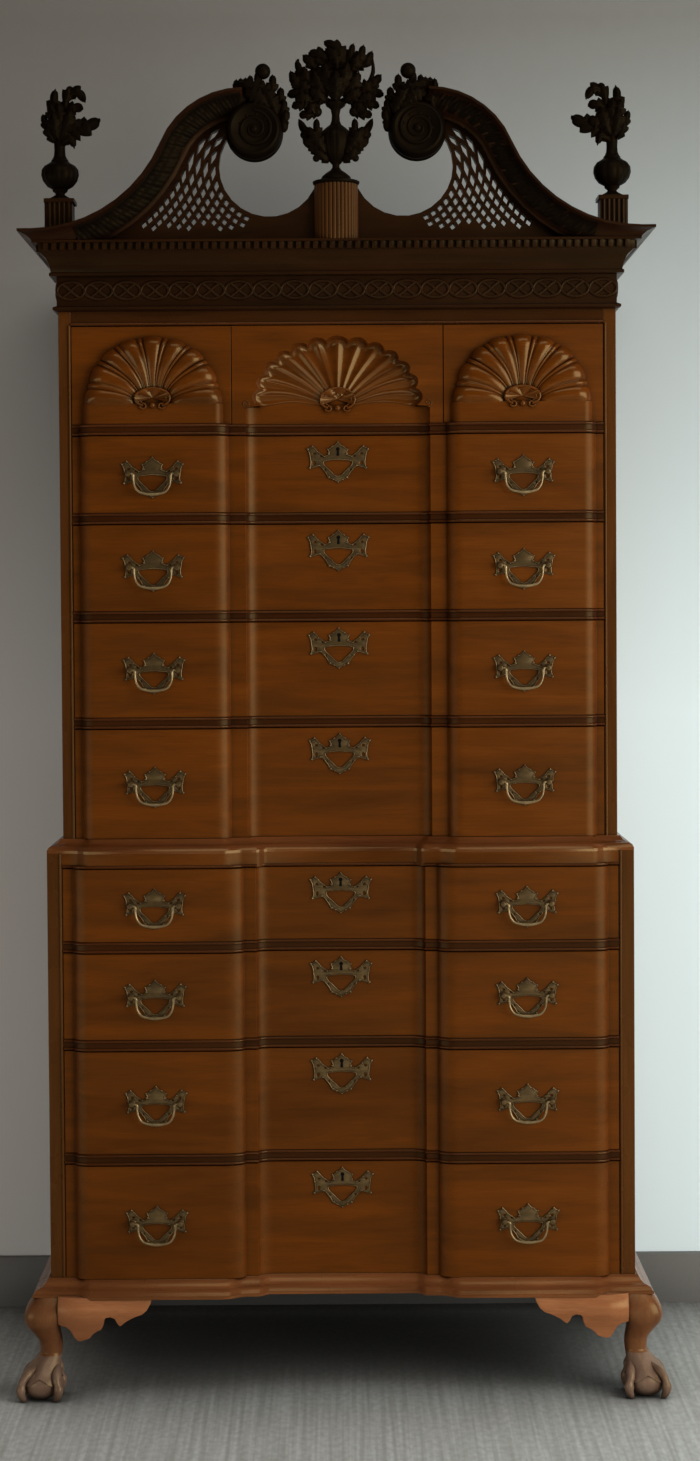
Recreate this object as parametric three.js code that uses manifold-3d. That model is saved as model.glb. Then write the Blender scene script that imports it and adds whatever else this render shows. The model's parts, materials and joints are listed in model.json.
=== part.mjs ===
// Block front chest: two stacked cases of drawers with blocked fronts, three carved shells,
// a pierced scroll pediment and short cabriole legs.
// Millimetres. Z is up, the front faces -Y, X runs to the viewer's right.
// Origin: the middle of the chest's outline on the floor.

import * as THREE from 'three';
import { mergeVertices } from 'three/addons/utils/BufferGeometryUtils.js';
import Module from 'manifold-3d';

const wasm = await Module();
wasm.setup();

// Clearances and cutting allowance
const workingGap = 0.3;
const drawerSideGap = 1;
const drawerTopGap = 1.5;
const overrun = 6;

// Plan: where the faces of the two cases stand
const backY = 291;
const lowerFrontY = -235;
const upperFrontY = -208;
const lowerHalfWidth = 527;
const caseStepIn = 27;
const upperHalfWidth = lowerHalfWidth - caseStepIn;
const lowerSideThickness = 27;
const upperSideThickness = 22;
const backThickness = 12;
const boardThickness = 22;
const panelThickness = 11;

// Heights: the base, then the openings and rails from the bottom up
const baseBottomZ = 184;
const baseTopZ = 213;
const lowerOpenings = [206, 186, 156, 132];
const upperOpenings = [198, 171, 156, 139];
const railHeight = 20;
const lowerTopRailHeight = 26;
const upperFloorThickness = 25;
const shellOpeningHeight = 177;
const topRailHeight = 27;
const friezeHeight = 62;
const corniceHeight = 61;

// The blocking: how far the blocks stand forward and the middle is sunk
const blockRise = 18;
const middleSink = 16;
const lowerInnerX = lowerHalfWidth - lowerSideThickness;
const upperInnerX = upperHalfWidth - upperSideThickness;
const lowerPlanShares = {
  edge: 1, flat: 0.96, blockOut: 0.902, blockIn: 0.422, step: 0.348, inner: 0.302, middle: 0.264,
};
const upperPlanShares = {
  edge: 1, flat: 0.9644, blockOut: 0.9268, blockIn: 0.4519, step: 0.41, inner: 0.3431, middle: 0.3159,
};
const easeShares = [0, 0.35, 0.65, 1];

// Drawers
const frontBackDepth = 38;
const boxSideThickness = 12;
const boxBackThickness = 11;
const boxBottomThickness = 7;
const boxBottomLift = 6;
const boxTopDrop = 9;
const boxBackClearance = 14;
const partitionHalfX = 0.3975 * upperInnerX;
const partitionThickness = 16;

// Colours read from the photograph
const mahogany = 0x7a3b1c;
const darkMahogany = 0x5f2c17;
const paleWood = 0xa9845a;
const brass = 0x8a7440;

const chest = new THREE.Group();
chest.name = 'block_front_chest';

// A sub-part: one mesh with its own material, in the chest or in the group given
function addPart(name, geometry, colour, finish, parent) {
  const material = new THREE.MeshStandardMaterial({
    color: colour, roughness: finish.roughness, metalness: finish.metalness,
  });
  const mesh = new THREE.Mesh(geometry, material);
  mesh.name = name;
  (parent ?? chest).add(mesh);
  return mesh;
}
const polished = { roughness: 0.3, metalness: 0 };
const plainWood = { roughness: 0.6, metalness: 0 };
const metalFinish = { roughness: 0.38, metalness: 0.9 };

// Solids for joining and cutting
function solidOf(geometry) {
  const bare = geometry.clone();
  bare.deleteAttribute('normal');
  bare.deleteAttribute('uv');
  const welded = mergeVertices(bare);
  const mesh = new wasm.Mesh({
    numProp: 3,
    vertProperties: Float32Array.from(welded.attributes.position.array),
    triVerts: Uint32Array.from(welded.index.array),
  });
  return new wasm.Manifold(mesh);
}
function geometryOf(solid) {
  const mesh = solid.getMesh();
  const geometry = new THREE.BufferGeometry();
  geometry.setAttribute('position', new THREE.BufferAttribute(Float32Array.from(mesh.vertProperties), 3));
  geometry.setIndex(new THREE.BufferAttribute(Uint32Array.from(mesh.triVerts), 1));
  const flat = geometry.toNonIndexed();
  flat.computeVertexNormals();
  return flat;
}
function joined(geometries) {
  return geometries.map(solidOf).reduce((sum, solid) => sum.add(solid));
}
function cutAll(solid, cutters) {
  return cutters.reduce((rest, cutter) => rest.subtract(cutter), solid);
}

// A rectangular board between two corners
function board(x0, x1, y0, y1, z0, z1) {
  const geometry = new THREE.BoxGeometry(x1 - x0, y1 - y0, z1 - z0);
  return geometry.translate((x0 + x1) / 2, (y0 + y1) / 2, (z0 + z1) / 2);
}
// An outline and its holes; the outline is walked anticlockwise so that the holes come out open
function shapeOf(points, holes = []) {
  const outline = points.map(([x, y]) => new THREE.Vector2(x, y));
  const shape = new THREE.Shape(THREE.ShapeUtils.isClockWise(outline) ? outline.reverse() : outline);
  for (const hole of holes) {
    shape.holes.push(new THREE.Path(hole.map(([x, y]) => new THREE.Vector2(x, y))));
  }
  return shape;
}
// A plan outline raised from one height to another
function raised(points, z0, z1) {
  const geometry = new THREE.ExtrudeGeometry(shapeOf(points), { depth: z1 - z0, bevelEnabled: false });
  return geometry.translate(0, 0, z0);
}
// A front-view outline (x, z) given thickness from a front face y0 back to y1
function sawn(points, y0, y1, holes = []) {
  const geometry = new THREE.ExtrudeGeometry(shapeOf(points, holes), {
    depth: y1 - y0, bevelEnabled: false,
  });
  geometry.rotateX(Math.PI / 2);
  return geometry.translate(0, y1, 0);
}
function mirroredX(solid) {
  return solid.mirror([1, 0, 0]);
}

function endFaces(outline) {
  const faces = THREE.ShapeUtils.triangulateShape(outline, []);
  return THREE.ShapeUtils.isClockWise(outline) ? faces.map((face) => face.reverse()) : faces;
}
// A body stretched over rings of points; each ring has the same count. The flat outlines of
// the first and the last ring tell how the two end faces are filled
function loft(rings, firstOutline, lastOutline = firstOutline) {
  const count = rings[0].length;
  const positions = rings.flat().flatMap((point) => point.toArray());
  const last = (rings.length - 1) * count;
  const index = [];
  for (let ring = 0; ring + 1 < rings.length; ring++) {
    for (let i = 0; i < count; i++) {
      const a = ring * count + i;
      const b = ring * count + ((i + 1) % count);
      index.push(a, b, b + count, a, b + count, a + count);
    }
  }
  for (const [a, b, c] of endFaces(firstOutline)) {
    index.push(a, c, b);
  }
  for (const [a, b, c] of endFaces(lastOutline)) {
    index.push(last + a, last + b, last + c);
  }
  const geometry = new THREE.BufferGeometry();
  geometry.setAttribute('position', new THREE.Float32BufferAttribute(positions, 3));
  geometry.setIndex(index);
  return facingOut(geometry);
}
// Turns every face over if the body came out with its inside showing
function facingOut(geometry) {
  const [a, b, c] = [new THREE.Vector3(), new THREE.Vector3(), new THREE.Vector3()];
  const { position } = geometry.attributes;
  const order = geometry.index;
  let volume = 0;
  for (let i = 0; i < order.count; i += 3) {
    a.fromBufferAttribute(position, order.getX(i));
    b.fromBufferAttribute(position, order.getX(i + 1));
    c.fromBufferAttribute(position, order.getX(i + 2));
    volume += a.dot(b.cross(c));
  }
  if (volume < 0) {
    geometry.setIndex(Array.from(order.array).reverse());
  }
  return geometry;
}
// A turned body: the profile is a list of [radius, distance along its own axis]
function turned(profile, segments) {
  const points = profile.map(([radius, along]) => new THREE.Vector2(radius, along));
  return facingOut(new THREE.LatheGeometry(points, segments));
}
function turnedUpright(profile, segments) {
  return turned(profile, segments).rotateX(Math.PI / 2);
}

// Where the blocking turns, measured from the middle of a case
function planAt(shares, innerX) {
  return Object.fromEntries(Object.entries(shares).map(([turn, share]) => [turn, share * innerX]));
}
const lowerPlanX = planAt(lowerPlanShares, lowerInnerX);
const upperPlanX = planAt(upperPlanShares, upperInnerX);

// The blocked line of a front, left to right, as [x, y] with y measured from the flats
function eased(x0, y0, x1, y1) {
  return easeShares.map((share) => {
    const swing = (1 - Math.cos(Math.PI * share)) / 2;
    return [x0 + (x1 - x0) * share, y0 + (y1 - y0) * swing];
  });
}
function blockLine(plan) {
  const left = [
    [-plan.edge, 0],
    ...eased(-plan.flat, 0, -plan.blockOut, -blockRise),
    ...eased(-plan.blockIn, -blockRise, -plan.step, 0),
    ...eased(-plan.inner, 0, -plan.middle, middleSink),
  ];
  const right = left.map(([x, y]) => [-x, y]).reverse();
  return [...left, ...right];
}
const lowerLine = blockLine(lowerPlanX);
const upperLine = blockLine(upperPlanX);

// A closed plan: the blocked line in front, a straight edge behind
function blockedPlan(line, frontY, rearY, halfX) {
  const inside = line.filter(([x]) => Math.abs(x) <= halfX);
  const ends = [[-halfX, 0], ...inside.filter(([x]) => Math.abs(x) < halfX), [halfX, 0]];
  const front = ends.map(([x, y]) => [x, frontY + y]);
  return [...front, [halfX, rearY], [-halfX, rearY]];
}

// Floor levels of the openings in each case
function stackLevels(startZ, openings) {
  const levels = [];
  let z = startZ;
  for (const height of openings) {
    levels.push({ z0: z, z1: z + height });
    z += height + railHeight;
  }
  return levels;
}
const lowerLevels = stackLevels(baseTopZ, lowerOpenings);
const lowerTopZ = lowerLevels.at(-1).z1;
const waistBottomZ = lowerTopZ + lowerTopRailHeight;
const upperFloorZ = waistBottomZ + upperFloorThickness;
const upperLevels = stackLevels(upperFloorZ, upperOpenings);
const shellZ0 = upperLevels.at(-1).z1 + railHeight;
const shellZ1 = shellZ0 + shellOpeningHeight;
const topRailZ1 = shellZ1 + topRailHeight;
const friezeOverlap = 2;
const friezeStartZ = topRailZ1 - friezeOverlap;
const friezeTopZ = friezeStartZ + friezeHeight;
const corniceTopZ = friezeTopZ + corniceHeight;

// Sides, backs, floors and tops
const caseInnerBackY = backY - backThickness;
for (const [side, sign] of [['left', -1], ['right', 1]]) {
  const lowerX = [sign * lowerHalfWidth, sign * lowerInnerX].sort((a, b) => a - b);
  const upperX = [sign * upperHalfWidth, sign * upperInnerX].sort((a, b) => a - b);
  const lowerSide = board(...lowerX, lowerFrontY, backY, baseBottomZ, waistBottomZ);
  const upperSide = board(...upperX, upperFrontY, backY, waistBottomZ, corniceTopZ);
  addPart(`lower_side_${side}`, lowerSide, mahogany, polished);
  addPart(`upper_side_${side}`, upperSide, mahogany, polished);
}
addPart('lower_back', board(-lowerInnerX, lowerInnerX, caseInnerBackY, backY, baseBottomZ, waistBottomZ),
  paleWood, plainWood);
addPart('upper_back', board(-upperInnerX, upperInnerX, caseInnerBackY, backY, waistBottomZ, corniceTopZ),
  paleWood, plainWood);
addPart('lower_top', raised(blockedPlan(lowerLine, lowerFrontY, caseInnerBackY, lowerInnerX),
  lowerTopZ, waistBottomZ), mahogany, plainWood);
addPart('upper_floor', raised(blockedPlan(upperLine, upperFrontY, caseInnerBackY, upperInnerX),
  waistBottomZ, upperFloorZ), mahogany, plainWood);

// Drawer dividers: a blocked rail at the front and a thinner dust board behind it
const railDepth = 75;
function divider(name, line, frontY, innerX, z0) {
  const rail = raised(blockedPlan(line, frontY, frontY + railDepth, innerX), z0, z0 + railHeight);
  const panel = board(-innerX, innerX, frontY + railDepth - overrun, caseInnerBackY,
    z0 + railHeight - panelThickness, z0 + railHeight);
  return addPart(name, geometryOf(joined([rail, panel])), mahogany, polished);
}
lowerLevels.slice(0, -1).forEach((level, i) => {
  divider(`lower_divider_${i + 1}`, lowerLine, lowerFrontY, lowerInnerX, level.z1);
});
upperLevels.forEach((level, i) => {
  divider(`upper_divider_${i + 1}`, upperLine, upperFrontY, upperInnerX, level.z1);
});

// Top frame: the top rail, the top board, the board over the shell drawers and the two
// partitions housed in it
const glueOverlap = 1;
const topRailBackY = upperFrontY + boardThickness;
const topRailParts = [
  board(-upperInnerX, upperInnerX, upperFrontY, topRailBackY, shellZ1, corniceTopZ),
  board(-upperInnerX, upperInnerX, topRailBackY - glueOverlap, caseInnerBackY,
    corniceTopZ - boardThickness, corniceTopZ),
  board(-upperInnerX, upperInnerX, upperFrontY, caseInnerBackY, shellZ1, shellZ1 + panelThickness),
];
for (const sign of [-1, 1]) {
  const middleX = sign * partitionHalfX;
  topRailParts.push(board(middleX - partitionThickness / 2, middleX + partitionThickness / 2,
    upperFrontY + frontBackDepth, caseInnerBackY, shellZ0, shellZ1 + panelThickness / 2));
}
addPart('top_frame_with_partitions', geometryOf(joined(topRailParts)), mahogany, polished);

// Mouldings that run along both sides and across the front.
// The profile is a list of [projection, height]; a line gives the blocking of the front.
function wrapPath(halfX, frontY, projection, line) {
  const x = halfX + projection;
  const y = frontY - projection;
  const across = line.map(([px, py]) => [px, y + py]);
  return [[-x, backY], [-x, y], ...across, [x, y], [x, backY]];
}
function wrapRing(z, outer, inner) {
  return [...outer, ...[...inner].reverse()].map(([x, y]) => new THREE.Vector3(x, y, z));
}
function wrapLoft(rings) {
  const planOf = (ring) => ring.map(({ x, y }) => new THREE.Vector2(x, y));
  return loft(rings, planOf(rings[0]), planOf(rings.at(-1)));
}

// Waist moulding: an ovolo and a cove from the lower case in to the upper case
const waistHeight = upperFloorThickness;
const waistProfileShares = [
  [1, 0], [1, 0.2], [0.9, 0.42], [0.68, 0.55], [0.58, 0.57], [0.33, 0.74], [0.14, 1],
];
const waistRings = waistProfileShares.map(([out, up]) => {
  const line = lowerLine.map(([x, y], i) => [
    upperLine[i][0] + (x - upperLine[i][0]) * out, y,
  ]);
  const outer = wrapPath(upperHalfWidth, upperFrontY, out * caseStepIn, line);
  const inner = wrapPath(upperHalfWidth, upperFrontY, workingGap, upperLine);
  return wrapRing(waistBottomZ + up * waistHeight, outer, inner);
});
addPart('waist_moulding', wrapLoft(waistRings), mahogany, polished);

// Base frame: the floor of the lower case and, around it, a moulding with a cove, an ovolo
// and a fillet
const baseProjection = 30;
const baseHeight = baseTopZ - baseBottomZ;
const baseProfileShares = [
  [1, 0], [1, 0.16], [0.93, 0.2], [0.86, 0.38], [0.6, 0.5], [0.48, 0.53], [0.3, 0.72], [0.14, 1],
];
const baseRings = baseProfileShares.map(([out, up]) => {
  const outer = wrapPath(lowerHalfWidth, lowerFrontY, out * baseProjection, lowerLine);
  const inner = wrapPath(lowerHalfWidth, lowerFrontY, 0, lowerLine);
  return wrapRing(baseBottomZ + up * (baseHeight - workingGap), outer, inner);
});
const floorHalfX = lowerInnerX - workingGap;
const floorPlan = blockedPlan(lowerLine, lowerFrontY - glueOverlap, caseInnerBackY, floorHalfX);
const baseFloor = raised(floorPlan, baseBottomZ, baseTopZ);
addPart('base_frame', geometryOf(joined([wrapLoft(baseRings), baseFloor])), mahogany, polished);

// Frieze: a board with an astragal along its lower edge
const astragalProjection = 9;
const friezeProjection = 2;
const astragalHeight = 11;
const astragalShares = [[0.11, 0], [1, 0.3], [1, 0.7]];
const friezeProfile = [
  ...astragalShares.map(([out, up]) => [out * astragalProjection, friezeStartZ + up * astragalHeight]),
  [friezeProjection, friezeStartZ + astragalHeight],
  [friezeProjection, friezeTopZ],
];
function straightWrap(profile) {
  return profile.map(([out, z]) => wrapRing(z, wrapPath(upperHalfWidth, upperFrontY, out, []),
    wrapPath(upperHalfWidth, upperFrontY, 0, [])));
}
addPart('frieze', wrapLoft(straightWrap(friezeProfile)), darkMahogany, polished);

// Cornice: bead, cove, a row of dentils and a fillet; the crown moulding returns along
// both sides, and a square plinth for each finial stands at the corners
const beadProjection = 14;
const beadHeight = 8;
const beadShares = [0.15, 0.8];
const coveStart = 11;
const dentilBack = 31;
const dentilFront = 37;
const filletProjection = 42;
const filletHeight = 4;
const dentilHeight = 14;
const dentilPitch = 15;
const dentilWidthShare = 0.55;
const dentilTopZ = corniceTopZ - filletHeight;
const dentilSeat = 1;
const coveTopZ = dentilTopZ - dentilHeight;
const coveBottomZ = friezeTopZ + beadHeight;
const coveShares = [[0, 0], [0.12, 0.35], [0.4, 0.7], [1, 1]];
const corniceProfile = [
  [friezeProjection, friezeTopZ],
  ...beadShares.map((up) => [beadProjection, friezeTopZ + up * beadHeight]),
  ...coveShares.map(([out, up]) => [
    coveStart + out * (dentilBack - coveStart), coveBottomZ + up * (coveTopZ - coveBottomZ),
  ]),
  [dentilBack, dentilTopZ - dentilSeat / 2],
  [filletProjection, dentilTopZ],
  [filletProjection, corniceTopZ],
];
// A straight comb of dentils, running along X with its teeth towards -Y; its spine is
// buried in the cornice
function dentilRow(length) {
  const count = Math.floor(length / dentilPitch);
  const half = (count * dentilPitch - dentilPitch * (1 - dentilWidthShare)) / 2;
  const toothY = dentilBack - dentilFront;
  const outline = [[-half, dentilPitch / 2], [-half, toothY]];
  for (let i = 0; i < count; i++) {
    const end = i * dentilPitch - half + dentilPitch * dentilWidthShare;
    const next = (i + 1) * dentilPitch - half;
    outline.push([end, toothY]);
    if (i + 1 < count) {
      outline.push([end, dentilSeat], [next, dentilSeat], [next, toothY]);
    }
  }
  outline.push([half, dentilPitch / 2]);
  return raised(outline, coveTopZ + dentilSeat, dentilTopZ + dentilSeat);
}
const dentilFaceX = upperHalfWidth + dentilBack;
const frontDentils = dentilRow(2 * dentilFaceX).translate(0, upperFrontY - dentilBack, 0);
const sideRun = backY - upperFrontY + dentilBack - dentilPitch;
const sideMiddleY = backY - sideRun / 2;
const rightDentils = dentilRow(sideRun).rotateZ(Math.PI / 2).translate(dentilFaceX, sideMiddleY, 0);
const leftDentils = dentilRow(sideRun).rotateZ(-Math.PI / 2).translate(-dentilFaceX, sideMiddleY, 0);

// The crown's section, from its top edge down: how far below the edge and how far forward
const crownWidth = 46;
const crownProjection = 65;
const crownProfileShares = [
  [0, 1], [0.1, 1], [0.13, 0.92], [0.21, 0.78], [0.31, 0.69], [0.39, 0.646], [0.57, 0.61],
  [0.72, 0.53], [0.84, 0.46], [0.87, 0.37], [1, 0.34],
];
const returnShare = 0.39;
const crownTopZ = corniceTopZ + returnShare * crownWidth;
const returnProfile = crownProfileShares.filter(([down]) => down <= returnShare)
  .map(([down, out]) => [upperHalfWidth + out * crownProjection, crownTopZ - down * crownWidth]);
const returnFootX = upperHalfWidth + filletProjection - filletHeight / 2;
const returnFootZ = corniceTopZ - filletHeight / 2;
const returnOutline = [
  [upperHalfWidth, crownTopZ], ...returnProfile, [returnFootX, returnFootZ], [upperHalfWidth, returnFootZ],
];
const mitreReach = crownProjection + overrun;
// The two sides of the mitre at the corner: what the front run takes and what the return takes
const mitreZ = [corniceTopZ - overrun, crownTopZ + overrun];
const frontWedge = solidOf(raised([
  [0, upperFrontY],
  [0, upperFrontY - mitreReach],
  [upperHalfWidth + workingGap + mitreReach, upperFrontY - mitreReach],
  [upperHalfWidth + workingGap, upperFrontY],
], ...mitreZ));
const returnWedge = solidOf(raised([
  [upperHalfWidth, upperFrontY],
  [upperHalfWidth + mitreReach, upperFrontY - mitreReach],
  [upperHalfWidth + 3 * mitreReach, upperFrontY - mitreReach],
  [upperHalfWidth + 3 * mitreReach, upperFrontY],
], ...mitreZ));
const crownReturn = solidOf(sawn(returnOutline, upperFrontY - mitreReach, backY)).subtract(frontWedge);

// Corner plinths for the finials, a square block with a moulded cap
const plinthHalf = 23.5;
const plinthHeight = 73;
const plinthTopZ = corniceTopZ + plinthHeight;
const plinthCapHeight = 7;
const plinthCapOut = 3.5;
const plinthMiddleX = upperHalfWidth - plinthCapOut;
const plinthMiddleY = upperFrontY + plinthHalf;
function squareBlock(half, z0, z1) {
  return board(-half, half, -half, half, z0, z1).translate(plinthMiddleX, plinthMiddleY, 0);
}
const plinthBlock = joined([
  squareBlock(plinthHalf, corniceTopZ + workingGap, plinthTopZ),
  squareBlock(plinthHalf + plinthCapOut, plinthTopZ, plinthTopZ + plinthCapHeight),
]);
let cornice = joined([wrapLoft(straightWrap(corniceProfile)), frontDentils, leftDentils, rightDentils]);
for (const piece of [crownReturn, plinthBlock]) {
  cornice = cornice.add(piece).add(mirroredX(piece));
}
addPart('cornice', geometryOf(cornice), darkMahogany, polished);

// Pediment: each gooseneck runs along two arcs that meet in a smooth S
const lowArcRadius = 0.502 * upperHalfWidth;
const highArcRadius = 0.318 * upperHalfWidth;
const highArcZ = corniceTopZ + 0.208 * upperHalfWidth;
const lowArc = { x: 1.08 * upperHalfWidth, z: crownTopZ + lowArcRadius, radius: lowArcRadius };
const highArc = { x: 0.33 * upperHalfWidth, z: highArcZ, radius: highArcRadius };
const arcSpanX = lowArc.x - highArc.x;
const arcSpanZ = lowArc.z - highArc.z;
const meetAngle = Math.atan2(arcSpanZ, arcSpanX);
const cutoutX = 0.2394 * upperHalfWidth;
const cutoutZ = corniceTopZ + 0.27 * upperHalfWidth;
const cutoutRadius = 0.18 * upperHalfWidth;
const rosetteX = 0.284 * upperHalfWidth;
const rosetteZ = corniceTopZ + 0.356 * upperHalfWidth;
const rosetteRadius = 0.098 * upperHalfWidth;

// Points of the S at a distance inside its outer edge, from the low end to the top
const lowSteps = 9;
const highSteps = 7;
function neckStations() {
  const stations = [{ x: lowArc.x + crownProjection + mitreReach, z: crownTopZ, nx: 0, nz: -1 }];
  const lowTurn = Math.PI / 2 - meetAngle;
  for (let i = 0; i <= lowSteps; i++) {
    const angle = -Math.PI / 2 - (lowTurn * i) / lowSteps;
    const nx = Math.cos(angle);
    const nz = Math.sin(angle);
    stations.push({ x: lowArc.x + lowArc.radius * nx, z: lowArc.z + lowArc.radius * nz, nx, nz });
  }
  const highTurn = Math.PI / 2 - meetAngle;
  for (let i = 1; i <= highSteps; i++) {
    const angle = meetAngle + (highTurn * i) / highSteps;
    const nx = -Math.cos(angle);
    const nz = -Math.sin(angle);
    stations.push({ x: highArc.x - highArc.radius * nx, z: highArc.z - highArc.radius * nz, nx, nz });
  }
  return stations;
}
const neckSection = [[0, 0], ...crownProfileShares, [1, 0]];
function gooseneck() {
  const rings = neckStations().map((at) => neckSection.map(([down, out]) => new THREE.Vector3(
    at.x + at.nx * down * crownWidth,
    upperFrontY - out * crownProjection,
    at.z + at.nz * down * crownWidth,
  )));
  const outline = neckSection.map(([down, out]) => new THREE.Vector2(down, out));
  return loft(rings, outline);
}
const rosetteBoreSegments = 32;
const rosetteBoreRadius = rosetteRadius + workingGap;
const rosetteBoreDepth = crownProjection + 2 * overrun;
const rosetteBoreProfile = [
  [0, 0], [rosetteBoreRadius, 0], [rosetteBoreRadius, rosetteBoreDepth], [0, rosetteBoreDepth],
];
const rosetteBore = solidOf(turned(rosetteBoreProfile, rosetteBoreSegments)
  .translate(rosetteX, upperFrontY - crownProjection - overrun, rosetteZ));
const belowCornice = solidOf(board(0, lowArc.x + crownProjection + 2 * mitreReach,
  upperFrontY - mitreReach, upperFrontY + overrun, lowArc.z - lowArc.radius - 2 * crownWidth, corniceTopZ));
const rightNeck = cutAll(solidOf(gooseneck()), [rosetteBore, belowCornice, returnWedge]);
addPart('gooseneck_right', geometryOf(rightNeck), darkMahogany, polished);
addPart('gooseneck_left', geometryOf(mirroredX(rightNeck)), darkMahogany, polished);

// The scroll board behind the goosenecks, with its round cut-outs and its lattice of holes.
// One family of bars keeps a set distance from the gooseneck, the other runs in rings about
// the round cut-out; the holes are what is left between the bars.
const boardInset = 4;
const boardTailX = plinthMiddleX - plinthHalf - workingGap;
const boardEndX = 0.3 * upperHalfWidth;
const centrePlinthHalf = 39;
const arcSteps = 16;
function heightOnCircle(circle, radius, x, side) {
  return circle.z + side * Math.sqrt(radius ** 2 - (x - circle.x) ** 2);
}
function arcPoints(circle, radius, from, to, steps) {
  const points = [];
  for (let i = 0; i <= steps; i++) {
    const angle = from + ((to - from) * i) / steps;
    points.push([circle.x + radius * Math.cos(angle), circle.z + radius * Math.sin(angle)]);
  }
  return points;
}
const cutout = { x: cutoutX, z: cutoutZ };
const tailAngle = -Math.acos((lowArc.x - boardTailX) / (lowArc.radius + boardInset)) + Math.PI;
const cutoutTop = Math.acos((boardEndX - cutoutX) / cutoutRadius);
const cutoutEnd = -Math.PI + Math.acos((cutoutX - centrePlinthHalf) / cutoutRadius);
const tongueZ = heightOnCircle(cutout, cutoutRadius, centrePlinthHalf, -1);
const halfBoard = [
  [boardTailX, corniceTopZ],
  ...arcPoints(lowArc, lowArc.radius + boardInset, -tailAngle, -Math.PI + meetAngle, arcSteps / 2),
  ...arcPoints(highArc, highArc.radius - boardInset, meetAngle,
    Math.acos((boardEndX - highArc.x) / (highArc.radius - boardInset)), arcSteps / 2).slice(1),
  ...arcPoints(cutout, cutoutRadius, cutoutTop, cutoutEnd, arcSteps),
];
const boardOutline = [...halfBoard, ...halfBoard.map(([x, z]) => [-x, z]).reverse()];

const ringClearance = 11;
const columnStart = 56;
const columnPitch = 14.9;
const ringStart = cutoutRadius + ringClearance;
const ringPitch = 13.3;
const holeAcrossShare = 0.31;
const latticeRise = 23;
const latticeBottomZ = corniceTopZ + latticeRise;
const latticeColumns = 10;
const latticeRings = 12;
const latticeClearX = 0.392 * upperHalfWidth;
// Where the curve at a distance inside the gooseneck meets a ring about the cut-out
function crossing(inset, ringRadius) {
  const low = meetOfCircles(lowArc, lowArc.radius + inset, cutout, ringRadius, 1);
  if (low && onLowSide(low)) {
    return low;
  }
  const high = meetOfCircles(highArc, highArc.radius - inset, cutout, ringRadius, -1);
  return high && !onLowSide(high) ? high : null;
}
function onLowSide([x, z]) {
  return (highArc.x - lowArc.x) * (z - lowArc.z) - (highArc.z - lowArc.z) * (x - lowArc.x) > 0;
}
function meetOfCircles(a, ra, b, rb, side) {
  const dx = b.x - a.x;
  const dz = b.z - a.z;
  const apart = Math.hypot(dx, dz);
  const along = (ra ** 2 - rb ** 2 + apart ** 2) / (2 * apart);
  const across = ra ** 2 - along ** 2;
  if (across < 0) {
    return null;
  }
  const off = side * Math.sqrt(across);
  return [a.x + (along * dx - off * dz) / apart, a.z + (along * dz + off * dx) / apart];
}
// The bars stay whole behind the end of the gooseneck, so high holes keep further out
function clearOfNeck([x, z]) {
  return x > (z < rosetteZ ? cutoutX : latticeClearX);
}
function latticeHoles() {
  const holes = [];
  const halfColumn = columnPitch * holeAcrossShare;
  const halfRing = ringPitch * holeAcrossShare;
  for (let column = 0; column < latticeColumns; column++) {
    for (let ring = 0; ring < latticeRings; ring++) {
      const inset = columnStart + column * columnPitch;
      const radius = ringStart + ring * ringPitch;
      const corners = [
        crossing(inset - halfColumn, radius - halfRing),
        crossing(inset - halfColumn, radius + halfRing),
        crossing(inset + halfColumn, radius + halfRing),
        crossing(inset + halfColumn, radius - halfRing),
      ];
      if (corners.every((corner) => corner && corner[1] > latticeBottomZ - halfRing)) {
        const middle = [0, 1].map((axis) => (
          corners.reduce((sum, corner) => sum + corner[axis], 0) / corners.length
        ));
        if (middle[1] > latticeBottomZ && clearOfNeck(middle)) {
          holes.push(corners);
        }
      }
    }
  }
  return holes;
}
const rightHoles = latticeHoles();
const leftHoles = rightHoles.map((corners) => corners.map(([x, z]) => [-x, z]));
addPart('scroll_board', sawn(boardOutline, upperFrontY, upperFrontY + boardThickness,
  [...rightHoles, ...leftHoles]), darkMahogany, polished);

// Rosettes: a deep turned drum with a stepped face, crowned by leaves and a small ball
const rosetteDepth = 60;
const rosetteSegments = 16;
const rosetteShares = [[0, 0], [0.94, 0], [1, 0.08], [1, 0.74], [0.9, 0.84], [0.74, 0.84], [0.68, 0.76],
  [0.5, 0.82], [0.24, 0.98], [0, 1]];
const crestDepth = 22;
const crestSpan = 0.2 * upperHalfWidth;
const crestShares = [
  [0.21, 0.88], [0.25, 1], [0.1, 0.9], [0.04, 1.02], [-0.04, 0.96], [-0.2, 1.02], [-0.24, 0.84],
  [-0.36, 0.92], [-0.42, 0.7], [-0.5, 0.66], [-0.52, 0.42], [-0.61, 0.3], [-0.62, 0.12], [-0.5, 0.02],
  [-0.3, 0], [-0.3, 0.3], [0.1, 0.3],
];
const ballRadius = 14;
const ballX = 0.26 * upperHalfWidth;
const ballZ = rosetteZ + 1.08 * crestSpan;
const ballStemHalf = 6;
const ballSegments = 10;
const ballRings = 6;
const crestEdgeX = highArc.x - workingGap;
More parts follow.
